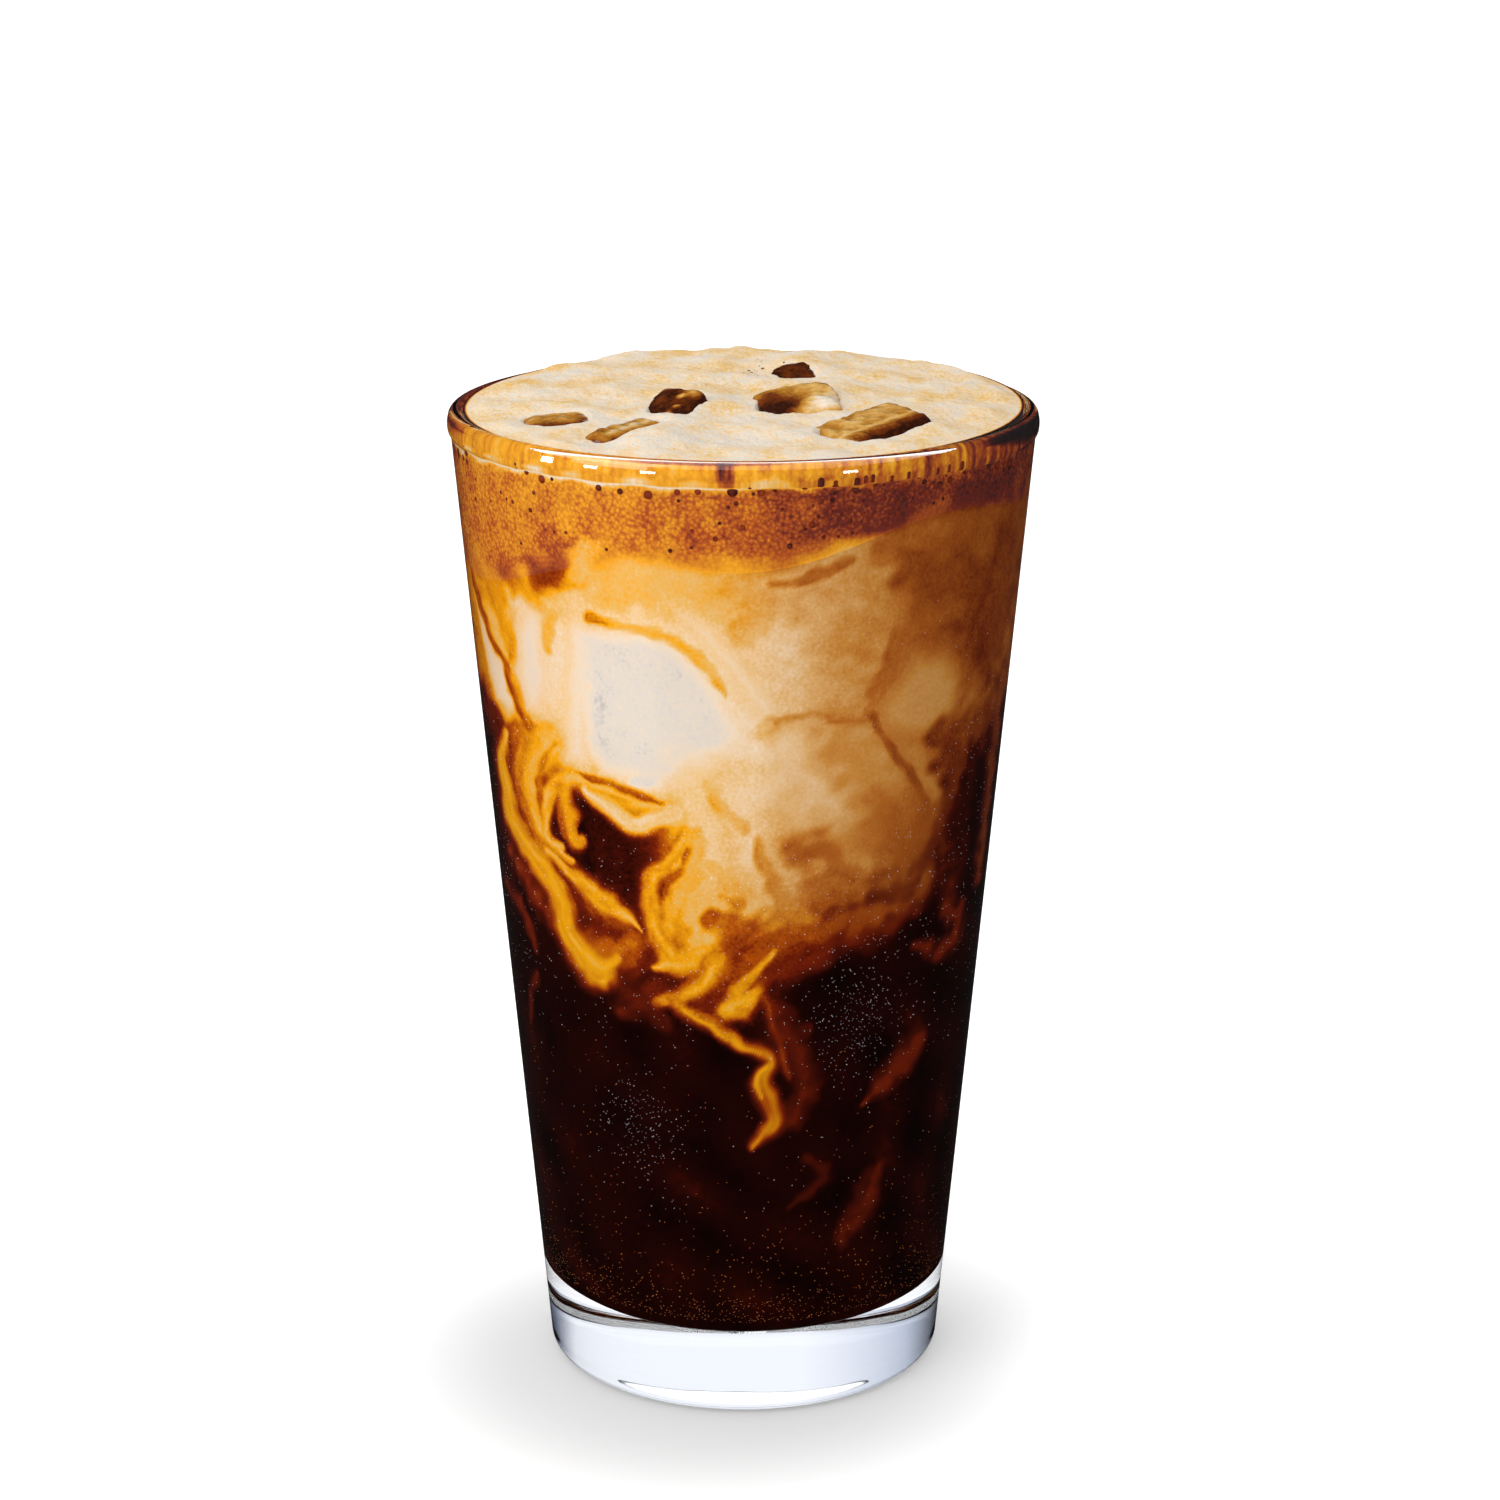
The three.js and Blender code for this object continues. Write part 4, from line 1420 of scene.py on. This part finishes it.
class DRINK_OT_top_ice(bpy.types.Operator):
    """Melt the blocks of ice that break through the foam"""

    bl_idname = "drink.make_top_ice"
    bl_label = "Ice on top"

    VOXEL = 0.38
    WELD = 0.001
    SMOOTHINGS = 6
    # Dimples: wavelength, depth, seed, and how far they slant along x and y as they go up
    DIMPLES = ((3.5, 1.0, 61, 0.6, -0.7), (1.7, 0.5, 62, -1.0, 1.0))
    DIMPLE_FILM = 0.04
    # Steep sides darker, between two heights of the normal: less foam film on them, and painted shade
    STEEP = (0.2, 0.9)
    STEEP_FILM_LOSS_AND_SHADE = 0.45

    def melted(self, node):
        """A copy of a block, with its faces split finely and its edges worn."""
        block = bpy.data.objects.new(node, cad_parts[node].data.copy())
        bpy.context.scene.collection.objects.link(block)
        weld = block.modifiers.new("Weld", "WELD")
        weld.merge_threshold = self.WELD * MM
        remesh = block.modifiers.new("Remesh", "REMESH")
        remesh.mode = "VOXEL"
        remesh.voxel_size = self.VOXEL * MM
        smooth = block.modifiers.new("Smooth", "SMOOTH")
        smooth.iterations = self.SMOOTHINGS
        view = bpy.context.evaluated_depsgraph_get()
        mesh = bpy.data.meshes.new_from_object(block.evaluated_get(view), depsgraph=view)
        bpy.data.objects.remove(block)
        return mesh

    def execute(self, context):
        material = melting_ice()
        melt = context.scene.drink_ice.melt
        for ice in TOP_ICE:
            mesh = self.melted(ice.node)
            count = len(mesh.vertices)
            places, normals = np.empty(count * 3), np.empty(count * 3)
            mesh.vertices.foreach_get("co", places)
            mesh.vertices.foreach_get("normal", normals)
            places, normals = places.reshape(-1, 3), normals.reshape(-1, 3)
            x, y, z = (places / MM).T
            dimples = sum(
                depth * ripple(x + slant_x * z, y + slant_y * z, wavelength, seed)
                for wavelength, depth, seed, slant_x, slant_y in self.DIMPLES
            )
            mesh.vertices.foreach_set("co", (places + normals * (melt * dimples)[:, None]).ravel())
            film = ice.film + self.DIMPLE_FILM * dimples
            # marks raise or lower the film: more or less foam, and painted highlights and shade
            for *ends, reach, more in ice.marks:
                away = nearest(x, y, np.array(ends, float))[0]
                film += more * np.exp(-((away / reach) ** 2))
            # steep sides darker: partly less foam, partly painted shade
            film -= self.STEEP_FILM_LOSS_AND_SHADE * (1 - smoothstep(*self.STEEP, normals[:, 2]))
            store(mesh, "film", np.clip(film, 0, 1))
            mesh.shade_smooth()
            add_piece(f"melting_{ice.node}", mesh, material, "wet_ice", ice.node)
        return {"FINISHED"}


SMALL_BEAD_BIAS = 2.5
BEAD_FLATNESS = 0.35
BEADS_APART = 2.1


def scatter_tree(name, material):
    """A tree that scatters flattened beads over a surface, crowded where its crowding attribute says."""
    tree = bpy.data.node_groups.new(name, "GeometryNodeTree")
    tree.interface.new_socket("Surface", in_out="INPUT", socket_type="NodeSocketGeometry")
    for label in ("Crowding", "Apart", "Smallest", "Largest", "Flatness"):
        tree.interface.new_socket(label, in_out="INPUT", socket_type="NodeSocketFloat")
    for label in ("Fineness", "Seed"):
        tree.interface.new_socket(label, in_out="INPUT", socket_type="NodeSocketInt")
    tree.interface.new_socket("Beads", in_out="OUTPUT", socket_type="NodeSocketGeometry")
    given = add_node(tree, "NodeGroupInput").outputs
    crowding = add_node(tree, "GeometryNodeInputNamedAttribute", {"Name": "crowding"}, data_type="FLOAT")
    spots = add_node(
        tree,
        "GeometryNodeDistributePointsOnFaces",
        {
            "Mesh": given["Surface"],
            "Distance Min": given["Apart"],
            "Density Max": given["Crowding"],
            "Density Factor": crowding.outputs["Attribute"],
            "Seed": given["Seed"],
        },
        distribute_method="POISSON",
    )
    bead = add_node(tree, "GeometryNodeMeshIcoSphere", {"Radius": 1.0, "Subdivisions": given["Fineness"]})
    draw = add_node(tree, "FunctionNodeRandomValue", {"Seed": given["Seed"]}, data_type="FLOAT")
    uneven = maths(tree, "POWER", draw.outputs[1], SMALL_BEAD_BIAS)
    limits = {"Value": uneven, "To Min": given["Smallest"], "To Max": given["Largest"]}
    size = add_node(tree, "ShaderNodeMapRange", limits).outputs["Result"]
    thickness = maths(tree, "MULTIPLY", size, given["Flatness"])
    scale = add_node(tree, "ShaderNodeCombineXYZ", {"X": size, "Y": size, "Z": thickness})
    beads = add_node(
        tree,
        "GeometryNodeInstanceOnPoints",
        {
            "Points": spots.outputs["Points"],
            "Instance": bead.outputs["Mesh"],
            "Rotation": spots.outputs["Rotation"],
            "Scale": scale.outputs[0],
        },
    )
    real = add_node(tree, "GeometryNodeRealizeInstances", {"Geometry": beads.outputs["Instances"]})
    finished = add_node(tree, "GeometryNodeSetMaterial", {"Geometry": real.outputs[0], "Material": material})
    add_node(tree, "NodeGroupOutput", {"Beads": finished.outputs[0]})
    return tree


def scattered(name, carrier, tree, **inputs):
    """The plain mesh that a scatter tree makes on a carrier mesh."""
    holder = bpy.data.objects.new(name, carrier)
    modifier = holder.modifiers.new("Scatter", "NODES")
    modifier.node_group = tree
    for socket in tree.interface.items_tree:
        if socket.in_out == "INPUT" and socket.name in inputs:
            modifier[socket.identifier] = inputs[socket.name]
    bpy.context.scene.collection.objects.link(holder)
    view = bpy.context.evaluated_depsgraph_get()
    mesh = bpy.data.meshes.new_from_object(holder.evaluated_get(view), depsgraph=view)
    bpy.data.objects.remove(holder)
    mesh.shade_smooth()
    return mesh


def sheet(name, rows, crowding):
    """An open sheet through rows of points that carries beads, crowded as a function of the points says."""
    rows = np.array(rows)
    count, across = rows.shape[:2]
    corner = np.arange(count - 1)[:, None] * across + np.arange(across - 1)
    quads = np.stack([corner, corner + 1, corner + across + 1, corner + across], axis=-1)
    points = rows.reshape(-1, 3)
    mesh = plain_mesh(name, points, quads.reshape(-1, 4).tolist())
    store(mesh, "crowding", np.clip(crowding(points), 0, 1))
    return mesh


class Beads(NamedTuple):
    """Beads of one kind: how crowded they lie, the heights that they lie between, radii and finish."""

    name: str
    crowding: object
    heights: tuple
    per_square_mm: float
    smallest: float
    largest: float
    fineness: int
    slot: str
    material: object


class DRINK_OT_bubbles(bpy.types.Operator):
    """Open bubbles in the foam against the wall, and glints and specks in the coffee"""

    bl_idname = "drink.make_bubbles"
    bl_label = "Bubbles"

    ROWS = 60
    LIP_LINE = 146.3
    LIP_LINE_WIDTH = 0.6
    PORE_CLOUD = ((-12, 25), (75, 45))
    PORE_RISE = (136, 144)
    PORE_FOAM = (0.5, 2.5)
    FEW_PORES = 0.08
    GLINT_CLOUDS = ((-18, 47), (19, 64))
    GLINT_CLOUD_REACH = (7, 8)
    GLINT_BAND = ((128, 95), (55, 70))
    GLINT_BAND_SHARE = 0.16
    FEW_GLINTS = 0.02
    SPECK_FLOOR = 14
    SPECK_FALL = 6
    FEW_SPECKS = 0.04
    TOP_PLACE = ((2.6, 18), (1.8, 4.5))
    TOP_X = (-2, 7, 30)
    TOP_Y = (8, 28, 40)

    def lip_line(self, points):
        return np.exp(-(((points[:, 2] - self.LIP_LINE) / self.LIP_LINE_WIDTH) ** 2))

    def pores(self, points):
        angle, z = angle_of(points), points[:, 2]
        cloud = smoothstep(*self.PORE_RISE, z)
        for turn in self.PORE_CLOUD:
            cloud = cloud * smoothstep(*turn, folded(angle))
        in_foam = smoothstep(*self.PORE_FOAM, z - edge_height(FOAM_EDGE, angle))
        return in_foam * (cloud + self.FEW_PORES)

    def glints(self, points):
        u, z = along_wall(folded(angle_of(points))), points[:, 2]
        band = self.GLINT_BAND_SHARE
        for heights in self.GLINT_BAND:
            band = band * smoothstep(*heights, z)
        near = sum(spot(u, z, middle, self.GLINT_CLOUD_REACH) for middle in self.GLINT_CLOUDS)
        return near + band + self.FEW_GLINTS

    def specks(self, points):
        return np.exp(-(points[:, 2] - self.SPECK_FLOOR) / self.SPECK_FALL) + self.FEW_SPECKS

    def top_bubbles(self, points):
        return spot(points[:, 0], points[:, 1], *self.TOP_PLACE)

    def execute(self, context):
        glass = in_mm(context.scene.drink_glass)
        wall = drink_wall(glass, context.scene.drink_liquid.contact / MM)
        bubbles = context.scene.drink_bubbles
        open_bubble = spotted(
            "open bubble in foam", "#400f05", "#8a300c", size=2.0, Roughness=0.3, Specular_IOR_Level=0.1
        )
        dark_bubble = spotted(
            "open bubble on foam", "#5a2a10", "#8a4a1c", size=1.0, Roughness=0.4, Specular_IOR_Level=0.2
        )
        # white beads: painted glints that stand for light caught by small bubbles in the coffee
        painted_glint_white = spotted("small bubble", "#c8d4e6", "#ffffff", size=1.0, Roughness=0.2)
        oil = spotted("coffee oil speck", "#b0480c", "#f0a040", size=1.0, Roughness=0.3)
        large, pore = bubbles.pore_largest, bubbles.pore_smallest
        glint, speck = bubbles.glint_radius, bubbles.speck_radius
        foam, coffee = "golden_foam", "dark_coffee"
        fields = (
            Beads("lip_bubbles", self.lip_line, (143.5, 148), 1.2, 0.5 * large, large, 2, foam, open_bubble),
            Beads("foam_pores", self.pores, (135, 148), 0.9, 1.2 * pore, 2.4 * pore, 2, foam, open_bubble),
            Beads("coffee_glints", self.glints, (30, 128), 1.8, 0.5 * glint, glint, 1, coffee, painted_glint_white),
            Beads("coffee_specks", self.specks, (14, 60), 1.8, 0.6 * speck, speck, 1, coffee, oil),
        )
        turn = np.linspace(0, 360, SPOKES + 1)
        for beads in fields:
            rows = [ring(wall(z), z, turn) for z in np.linspace(*beads.heights, self.ROWS)]
            self.scatter(beads, rows, bubbles.seed)

        x, y = np.meshgrid(np.linspace(*self.TOP_X), np.linspace(*self.TOP_Y))
        share = np.hypot(x, y) / inner_radius(glass, FOAM_TOP_EDGE[0])
        angle = np.degrees(np.arctan2(x, -y))
        z = np.array([foam_top(glass, s, a) for s, a in zip(share, angle)])
        on_top = Beads("top_bubbles", self.top_bubbles, (), 0.9, 0.5 * pore, 1.5 * pore, 2, foam, dark_bubble)
        self.scatter(on_top, np.stack([x, y, z], axis=-1), bubbles.seed)
        return {"FINISHED"}

    def scatter(self, beads, rows, seed):
        mesh = scattered(
            beads.name,
            sheet(beads.name, rows, beads.crowding),
            scatter_tree(beads.name, beads.material),
            Crowding=beads.per_square_mm / MM**2,
            Apart=BEADS_APART * beads.largest,
            Smallest=beads.smallest,
            Largest=beads.largest,
            Flatness=BEAD_FLATNESS,
            Fineness=beads.fineness,
            Seed=seed,
        )
        add_piece(beads.name, mesh, beads.material, beads.slot)


# Stage

# The white sweep seen through the glass, with dark flags at both sides: place from left to right, and shade
SKY_SHADES = (
    (0.0, "#10121c"),
    (0.16, "#c4ccdc"),
    (0.4, "#f4f6fc"),
    (0.86, "#f4f6fc"),
    (0.94, "#8a92a8"),
    (1.0, "#1c2030"),
)
SWEEP_STRENGTH = 1.15
MIRRORED_STRENGTH = 0.5

# The large lights, and the point that they aim at
AIM = (0.0, 0.0, 0.08)
KEY_SIZE = (0.8, 0.9)
KEY_PLACE = (-0.95, -0.75, 0.75)
TOP_SIZE = (0.9, 0.9)
TOP_PLACE = (-0.1, 0.2, 1.3)

# The small lights, a metre round the glass, that show as dashes along its lip
GLINT_AZIMUTHS = (-78, -58, -35, 40)
GLINT_SIZE = (0.1, 0.2)
GLINT_HEIGHT = 0.17
GLINT_AIM = (0.0, 0.0, 0.15)

# A painted shadow round the glass, where the floor's own glow is dimmed: its middle, a little ahead of the
# glass, where it begins to fade and where it ends, and the glow in its middle
PAINTED_SHADOW_CENTRE = (-0.006, -0.011, 0.0)
PAINTED_SHADOW_REACH = (0.027, 0.07)
PAINTED_SHADOW_GLOW = 0.04
SENSOR_WIDTH = 36.0


def area_light(name, power, size, place, target):
    """A soft rectangular light aimed at a point, hidden from rays that pass through glass."""
    lamp = bpy.data.lights.new(name, "AREA")
    lamp.shape = "RECTANGLE"
    lamp.energy = power
    lamp.size, lamp.size_y = size
    light = bpy.data.objects.new(name, lamp)
    bpy.context.scene.collection.objects.link(light)
    light.location = place
    aim = np.array(target) - np.array(place)
    light.rotation_euler = (
        math.atan2(math.hypot(aim[0], aim[1]), -aim[2]),
        0.0,
        math.atan2(aim[1], aim[0]) - math.pi / 2,
    )
    light.visible_transmission = False
    light.visible_camera = False
    return light


class DRINK_OT_stage(bpy.types.Operator):
    """Set the glass on a white floor, with soft light and the camera"""

    bl_idname = "drink.make_stage"
    bl_label = "Stage"

    def execute(self, context):
        stage = context.scene.drink_stage
        self.floor(stage)
        self.sky(stage)
        area_light("key", stage.key, KEY_SIZE, KEY_PLACE, AIM)
        top = area_light("top", stage.top, TOP_SIZE, TOP_PLACE, AIM)
        top.visible_glossy = False
        for number, azimuth in enumerate(np.radians(GLINT_AZIMUTHS)):
            place = (math.sin(azimuth), -math.cos(azimuth), GLINT_HEIGHT)
            glint = area_light(f"glint_{number}", stage.glint, GLINT_SIZE, place, GLINT_AIM)
            glint.visible_diffuse = False
        self.camera(stage)
        context.scene.view_settings.view_transform = "Standard"
        return {"FINISHED"}

    def floor(self, stage):
        half = stage.floor_size / 2 / MM
        corners = [(-half, -half, 0), (half, -half, 0), (half, half, 0), (-half, half, 0)]
        floor = bpy.data.objects.new("floor", plain_mesh("floor", corners, [[0, 1, 2, 3]]))
        bpy.context.scene.collection.objects.link(floor)
        material, tree, shader = new_material(
            "white paper", Base_Color=linear("#f8f8f8"), Roughness=1.0, Specular_IOR_Level=0.0
        )
        shader.inputs["Emission Color"].default_value = linear("#ffffff")
        path = add_node(tree, "ShaderNodeLightPath").outputs
        place = add_node(tree, "ShaderNodeTexCoord").outputs["Object"]
        # the camera sees the floor's glow dimmed round the glass: a painted shadow
        away = add_node(tree, "ShaderNodeVectorMath", {0: place, 1: PAINTED_SHADOW_CENTRE}, operation="DISTANCE")
        limits = {
            "Value": away.outputs["Value"],
            "From Min": PAINTED_SHADOW_REACH[0],
            "From Max": PAINTED_SHADOW_REACH[1],
            "To Min": PAINTED_SHADOW_GLOW,
            "To Max": stage.floor_glow,
        }
        glow_with_painted_shadow = add_node(tree, "ShaderNodeMapRange", limits, interpolation_type="SMOOTHSTEP")
        shown = maths(tree, "MULTIPLY", path["Is Camera Ray"], glow_with_painted_shadow.outputs["Result"])
        # seen through the glass the floor glows in full: painted light under the foot, where the drink shades
        # it
        glow = maths(tree, "MULTIPLY_ADD", path["Is Transmission Ray"], stage.floor_glow, shown)
        tree.links.new(glow, shader.inputs["Emission Strength"])
        # in reflections the floor shows dark grey: a painted dark reflection of the studio in front of the
        # glass
        dark = add_node(tree, "ShaderNodeBsdfDiffuse", {"Color": linear("#202020")}).outputs[0]
        mirrored = maths(tree, "SUBTRACT", path["Is Glossy Ray"], path["Is Transmission Ray"], use_clamp=True)
        shine_out(tree, blended(tree, mirrored, shader.outputs["BSDF"], dark))
        floor.data.materials.append(material)

    def sky(self, stage):
        world = bpy.data.worlds.new("studio")
        world.use_nodes = True
        tree = world.node_tree
        path = add_node(tree, "ShaderNodeLightPath").outputs
        soft = tree.nodes["Background"]
        soft.inputs["Color"].default_value = linear("#ffffff")
        soft.inputs["Strength"].default_value = stage.sky
        place = add_node(tree, "ShaderNodeTexCoord").outputs["Generated"]
        axes = add_node(tree, "ShaderNodeSeparateXYZ", {0: place}).outputs
        limits = {"Value": axes["X"], "From Min": -1.0, "From Max": 1.0}
        aside = add_node(tree, "ShaderNodeMapRange", limits).outputs["Result"]
        flags = tone_ramp(tree, aside, [(at, linear(shade)[:3]) for at, shade in SKY_SHADES])
        backgrounds = (
            ("Glossy", linear("#2a2d38"), MIRRORED_STRENGTH),
            ("Transmission", flags, SWEEP_STRENGTH),
            ("Camera", linear("#ffffff"), 1.0),
        )
        shown = soft.outputs[0]
        for ray, shade, strength in backgrounds:
            background = add_node(tree, "ShaderNodeBackground", {"Color": shade, "Strength": strength})
            shown = blended(tree, path[f"Is {ray} Ray"], shown, background.outputs[0])
        tree.links.new(shown, tree.nodes["World Output"].inputs["Surface"])
        bpy.context.scene.world = world

    def camera(self, stage):
        lens = bpy.data.cameras.new("camera")
        lens.lens = stage.camera_lens
        lens.sensor_width = SENSOR_WIDTH
        camera = bpy.data.objects.new("camera", lens)
        bpy.context.scene.collection.objects.link(camera)
        camera.location = (stage.camera_aside, -stage.camera_distance, stage.camera_height)
        camera.rotation_euler = (math.pi / 2 - stage.camera_tilt, 0.0, 0.0)
        bpy.context.scene.camera = camera


# Add-on

SETTINGS = {
    "drink_glass": GlassSettings,
    "drink_liquid": DrinkSettings,
    "drink_ice": IceSettings,
    "drink_bubbles": BubbleSettings,
    "drink_stage": StageSettings,
}
MAKERS = (
    DRINK_OT_stage,
    DRINK_OT_glass,
    DRINK_OT_layers,
    DRINK_OT_foam,
    DRINK_OT_sunk_ice,
    DRINK_OT_top_ice,
    DRINK_OT_bubbles,
)


class DRINK_PT_panel(bpy.types.Panel):
    """The drink's settings, and a button for each of its pieces"""

    bl_idname = "DRINK_PT_panel"
    bl_label = "Iced Shaken Espresso"
    bl_space_type = "VIEW_3D"
    bl_region_type = "UI"
    bl_category = "Drink"

    def draw(self, context):
        for maker in MAKERS:
            self.layout.operator(maker.bl_idname)
        for group, settings in SETTINGS.items():
            box = self.layout.box()
            for name in settings.__annotations__:
                box.prop(getattr(context.scene, group), name)


def register():
    for settings in SETTINGS.values():
        bpy.utils.register_class(settings)
    for group, settings in SETTINGS.items():
        setattr(bpy.types.Scene, group, PointerProperty(type=settings))
    for shown in (*MAKERS, DRINK_PT_panel):
        bpy.utils.register_class(shown)


def unregister():
    for shown in reversed((*MAKERS, DRINK_PT_panel)):
        bpy.utils.unregister_class(shown)
    for group, settings in SETTINGS.items():
        delattr(bpy.types.Scene, group)
        bpy.utils.unregister_class(settings)


def main():
    register()
    for maker in MAKERS:
        kind, name = maker.bl_idname.split(".")
        getattr(getattr(bpy.ops, kind), name)()


if __name__ == "__main__":
    main()
